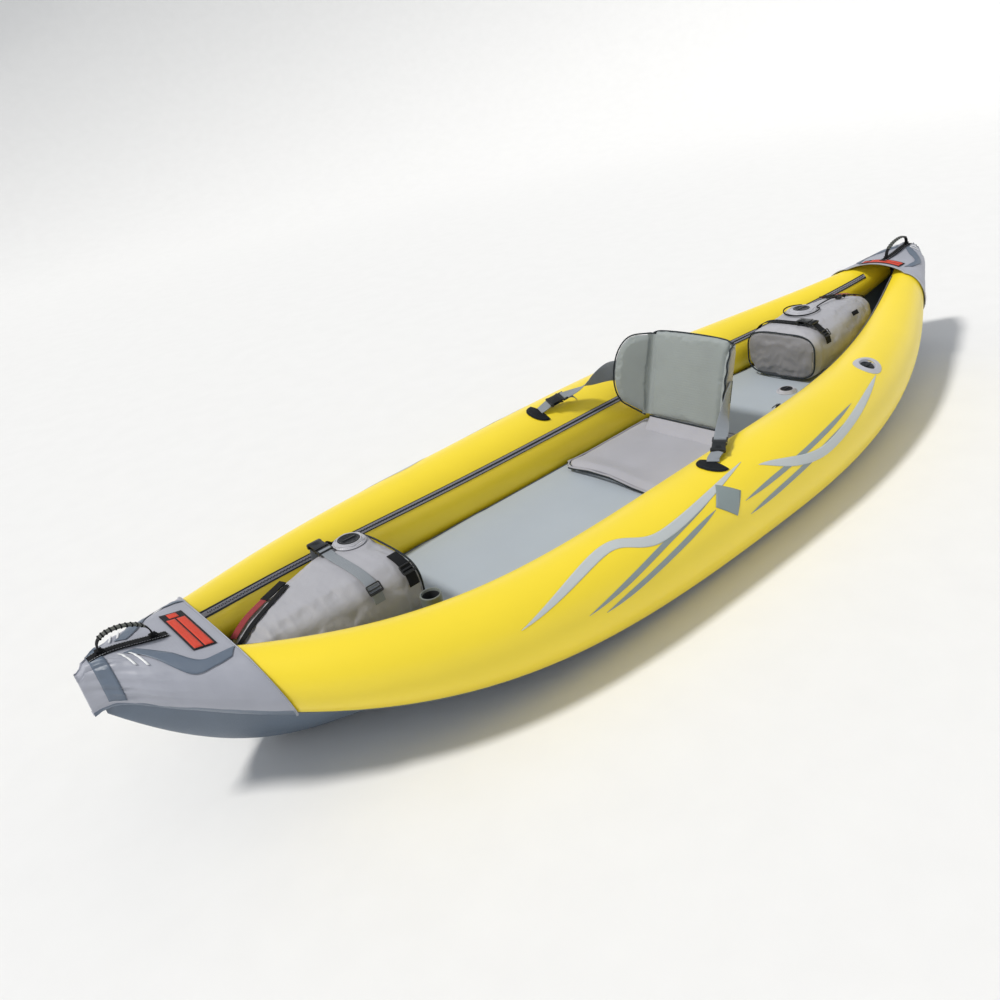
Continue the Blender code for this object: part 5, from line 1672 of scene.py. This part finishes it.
def build_bag_rims():
    """Dark piping round each bag's blunt end, and the gathered closure at its tip."""
    for word, bag, seed in (("bow", BOW_BAG, 1), ("stern", STERN_BAG, 2)):
        blunt, tip = bag[0][0], bag[-1][0]
        inward = 1 if tip > blunt else -1
        turns = between(0, 360, 96)[:-1]
        path = []
        for i, degrees in enumerate(turns):
            wobble = 0.0012 * noise.noise(Vector((math.cos(math.radians(degrees)) * 3, i * 0.02, seed)))
            path.append(bag_point(bag, blunt + inward * 0.006, degrees, -0.0045 + wobble))
        rim = Shape().cord(path, PIPING_RADIUS, closed=True, sides=10)
        rim.make(f"{word}_bag_piping", "piping", "hull")
        rows = []
        for i in range(9):
            share = i / 8
            x = tip - inward * BAG_GATHER * (1 - share)
            squash = 1 - 0.55 * share
            row = []
            for degrees in between(0, 360, 48)[:-1]:
                ripple = 0.0022 * math.sin(math.radians(degrees) * 9) * share
                point = bag_point(bag, tip - inward * BAG_GATHER, degrees, -0.012 + ripple)
                level = BAG_GATHER_HEIGHT + (point.z - BAG_GATHER_HEIGHT) * squash
                row.append(Vector((x, point.y * squash, level)))
            rows.append(row)
        Shape().grid(rows, wrap=True, capped=True).make(f"{word}_bag_gather", "bag_grey", "hull")


def build_bag_straps():
    """Each bag's strap halves, its slides, and the tethers that lead to the bow or stern."""
    sockets = {end: bag_socket(end) for end, _ in ENDS}
    bag_band("bow_bag_webbing_starboard", BOW_BAG, BOW_STRAP_X, 150, 171, "webbing_grey",
             stands_for=["bow_bag_strap_starboard"], lead=[sockets[1] + Vector((0, -0.001, -0.002))])
    flat = bag_point(STERN_BAG, STERN_STRAP_X, 88, STRAP_LIFT)
    bag_band("stern_bag_webbing_starboard", STERN_BAG, STERN_STRAP_X, 104, 168, "webbing_black",
             stands_for=["stern_bag_strap_starboard"],
             lead=[sockets[-1] + Vector((0, 0.001, -0.003)), sockets[-1] + Vector((0, -0.008, -0.005)), flat])
    bag_band("bow_bag_rear_webbing", BOW_BAG, BOW_REAR_STRAP_X, 74, 8, "webbing_black",
             stands_for=["bow_bag_rear_strap"])
    for word, bag, x, start, finish in (("bow", BOW_BAG, BOW_STRAP_X, 96, "webbing_grey"),
                                        ("stern", STERN_BAG, STERN_STRAP_X, 52, "webbing_black")):
        socket = sockets[1 if word == "bow" else -1]
        near = socket + Vector((0, BUCKLE_SOCKET[0] - SOCKET_BACK + PLUG_REACH - 0.002, -0.002))
        strap = bag_band(f"{word}_bag_webbing_port", bag, x, start, 10, finish, body=None,
                         stands_for=[f"{word}_bag_strap_port"], lead=[near])
        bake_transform(strap)
    for name, bag, x, degrees in (("bow_bag_slide_front", BOW_BAG, BOW_STRAP_X, 34),
                                  ("bow_bag_slide_rear", BOW_BAG, BOW_REAR_STRAP_X, 38),
                                  ("stern_bag_slide", STERN_BAG, STERN_STRAP_X, 34)):
        seat = bag_point(bag, x, degrees, STRAP_LIFT + 0.0022)
        ahead = bag_point(bag, x, degrees - 3, STRAP_LIFT + 0.0022)
        ladder_lock(name, frame_matrix(seat, ahead - seat, seat - bag_centre(bag, x)), STRAP_WIDTH)
    for word, bag, points in (("bow", BOW_BAG, BOW_TETHER), ("stern", STERN_BAG, STERN_TETHER)):
        path = smooth_path([bag_top_point(bag, x, y, 0.0045) for x, y in points], 12)
        tether = Shape().sweep(path, [UP] * len(path), strap_section(0.016, WEBBING), kind=0)
        cuff = path[-8:]
        tether.sweep(cuff, [UP] * len(cuff), strap_section(0.019, 0.0032), kind=1)
        tether.make(f"{word}_red_tether", ["webbing_red", "webbing_black"], "hull", [f"{word}_bag_tether"])
        dark = [bag_top_point(bag, x, y + 0.030, 0.0042) for x, y in points]
        dark = smooth_path([dark[0], dark[1], dark[2] + Vector((0, -0.012, 0))], 12)
        second = Shape().sweep(dark, [UP] * len(dark), strap_section(0.012, WEBBING))
        second.make(f"{word}_black_tether", "webbing_black", "hull")
    build_haul_loops()


def build_haul_loops():
    """A small webbing tab on each bag's top edge, the bow one at starboard and the stern one at port."""
    for name, bag, x, degrees in (("bow_bag_tab", BOW_BAG, 0.905, 128),
                                  ("stern_bag_tab", STERN_BAG, -0.90, 34)):
        base = bag_point(bag, x, degrees, 0.0016)
        out = (base - bag_centre(bag, x)).normalized()
        foot = Vector((0.012, 0, 0))
        path = smooth_path([base - foot, base + out * 0.013, base + foot], 8)
        tab = Shape().sweep(path, [out] * len(path), strap_section(0.014, WEBBING))
        tab.make(name, "webbing_black", "hull")


def build_bungee():
    """Elastic cord round the stern bag's valve, with its lock and a knotted tail."""
    x, y, _ = STERN_VALVE
    route = [bag_top_point(STERN_BAG, tail_x, tail_y, TAIL_LIFT) for tail_x, tail_y in BUNGEE_TAIL]
    for i in range(13):
        angle = math.radians(150 - 300 * i / 12)
        spot_x, spot_y = x + BUNGEE_LOOP * math.cos(angle), y + BUNGEE_LOOP * math.sin(angle)
        route.append(bag_top_point(STERN_BAG, spot_x, spot_y, LOOP_LIFT))
    path = smooth_path(route, 6)[::-1]
    shape = Shape().cord(path, BUNGEE_RADIUS, sides=10)
    cord = shape.make("stern_bag_shock_cord", "elastic", "hull", ["stern_bag_bungee"])
    loops = []
    for i in range(48):
        t = 2 * math.pi * i / 48
        loops.append(path[-1] + Vector((-math.sin(3 * t), math.sin(t) + 2 * math.sin(2 * t),
                                        math.cos(t) - 2 * math.cos(2 * t))) * KNOT_SIZE)
    knot = Shape().cord(loops, BUNGEE_RADIUS * 0.9, closed=True, sides=8)
    tied = knot.make("stern_bag_shock_cord_knot", "elastic", "hull")
    along = (route[0] - route[1]).normalized()
    lock = facing_matrix(route[0].lerp(route[1], 0.45), along, (0, 1, 0))
    half = [(0.0027, 0.009), (0.0066, 0.009), (0.0075, 0.0078), (0.0075, 0.002), (0.0069, 0.0012)]
    sleeve = Shape()
    sleeve.turned(half + [(radius, -level) for radius, level in reversed(half)], lock, 32)
    for turn in spins(10):
        sleeve.block((0.0010, 0.0016, 0.012), lock @ turn @ shift(0.0073, 0, 0), 0.0003)
    lock_body = sleeve.make("stern_cord_lock_body", "buckle_black", "stern_cord_lock", ["stern_cord_lock"])
    tuple(path[0])
    run_length(path)
    [tuple(p) for p in path]


def build_rod_holder():
    """The rod holder's tube with a rolled rim, a bore darkened with painted shade, and a collar at its foot.
    """
    seat = Matrix.Translation(ROD_HOLDER)
    shape = Shape()
    shape.turned([(0.0190, 0.0980), (0.0202, 0.0998), (0.0218, 0.0998), (0.0228, 0.0982), (0.0225, 0.0950),
                  (0.0225, 0.0100), (0.0240, 0.0080), (0.0240, 0.0), (0.0190, 0.0)], seat, 56)
    # the bore's inner wall takes the darker copy: painted shade
    shape.turned([(0.01895, 0.0940), (0.01895, 0.0010), (0.0180, 0.0010), (0.0180, 0.0940)], seat, 48, kind=1)
    shape.make("rod_holder", ["pipe_grey", "pipe_bore_painted_shade"], "hull", ["rod_holder_tube"])


def dress_frame():
    """Detailed materials on the nodes that stay as they are."""
    for name, obj in frame["nodes"].items():
        entry = next(s for s in frame["record"]["subparts"] if s["node"] == name)
        obj.data.materials.clear()
        obj.data.materials.append(material_for(entry["material_slot"]))


# ---------------------------------------------------------------- build everything
dress_frame()
set_stage()
build_tubes()
build_seam_tape()
build_prints()
build_zippers()
build_cap("bow_spray_cover", 1, "bow_cover")
build_cap("stern_spray_cover", -1, "stern_cover")
build_cap_prints()
build_nose_tab(1, "bow")
build_nose_tab(-1, "stern")
build_bottom()
build_floor()
build_handles()
build_seat_pad()
build_backrest()
build_seat_straps()
build_tube_valves()
build_bag_valve("bow", BOW_BAG, BOW_VALVE)
build_bag_valve("stern", STERN_BAG, STERN_VALVE)
build_twist_valve("floor_valve", Vector((FLOOR_VALVE[0], FLOOR_VALVE[1], FLOOR_TOP + TOUCH)), UP,
                  FLOOR_VALVE[2], FLOOR_CAP_RADIUS, "floor_valve_cap")
build_bag("bow_dry_bag", BOW_BAG, BOW_VALVE, (BOW_STRAP_X, BOW_REAR_STRAP_X), 1.0, "bow_gear_bag")
build_bag("stern_dry_bag", STERN_BAG, STERN_VALVE, (STERN_STRAP_X,), 2.0, "stern_gear_bag")
build_bag_rims()
build_bag_straps()
build_buckle("bow_bag_buckle", bag_socket(1), (0, 1, 0), UP, "bow_bag_buckle_plug", "webbing_grey")
build_buckle("stern_bag_buckle", bag_socket(-1), (0, 1, 0), UP, "stern_bag_buckle_plug", "webbing_black")
build_bungee()
build_rod_holder()
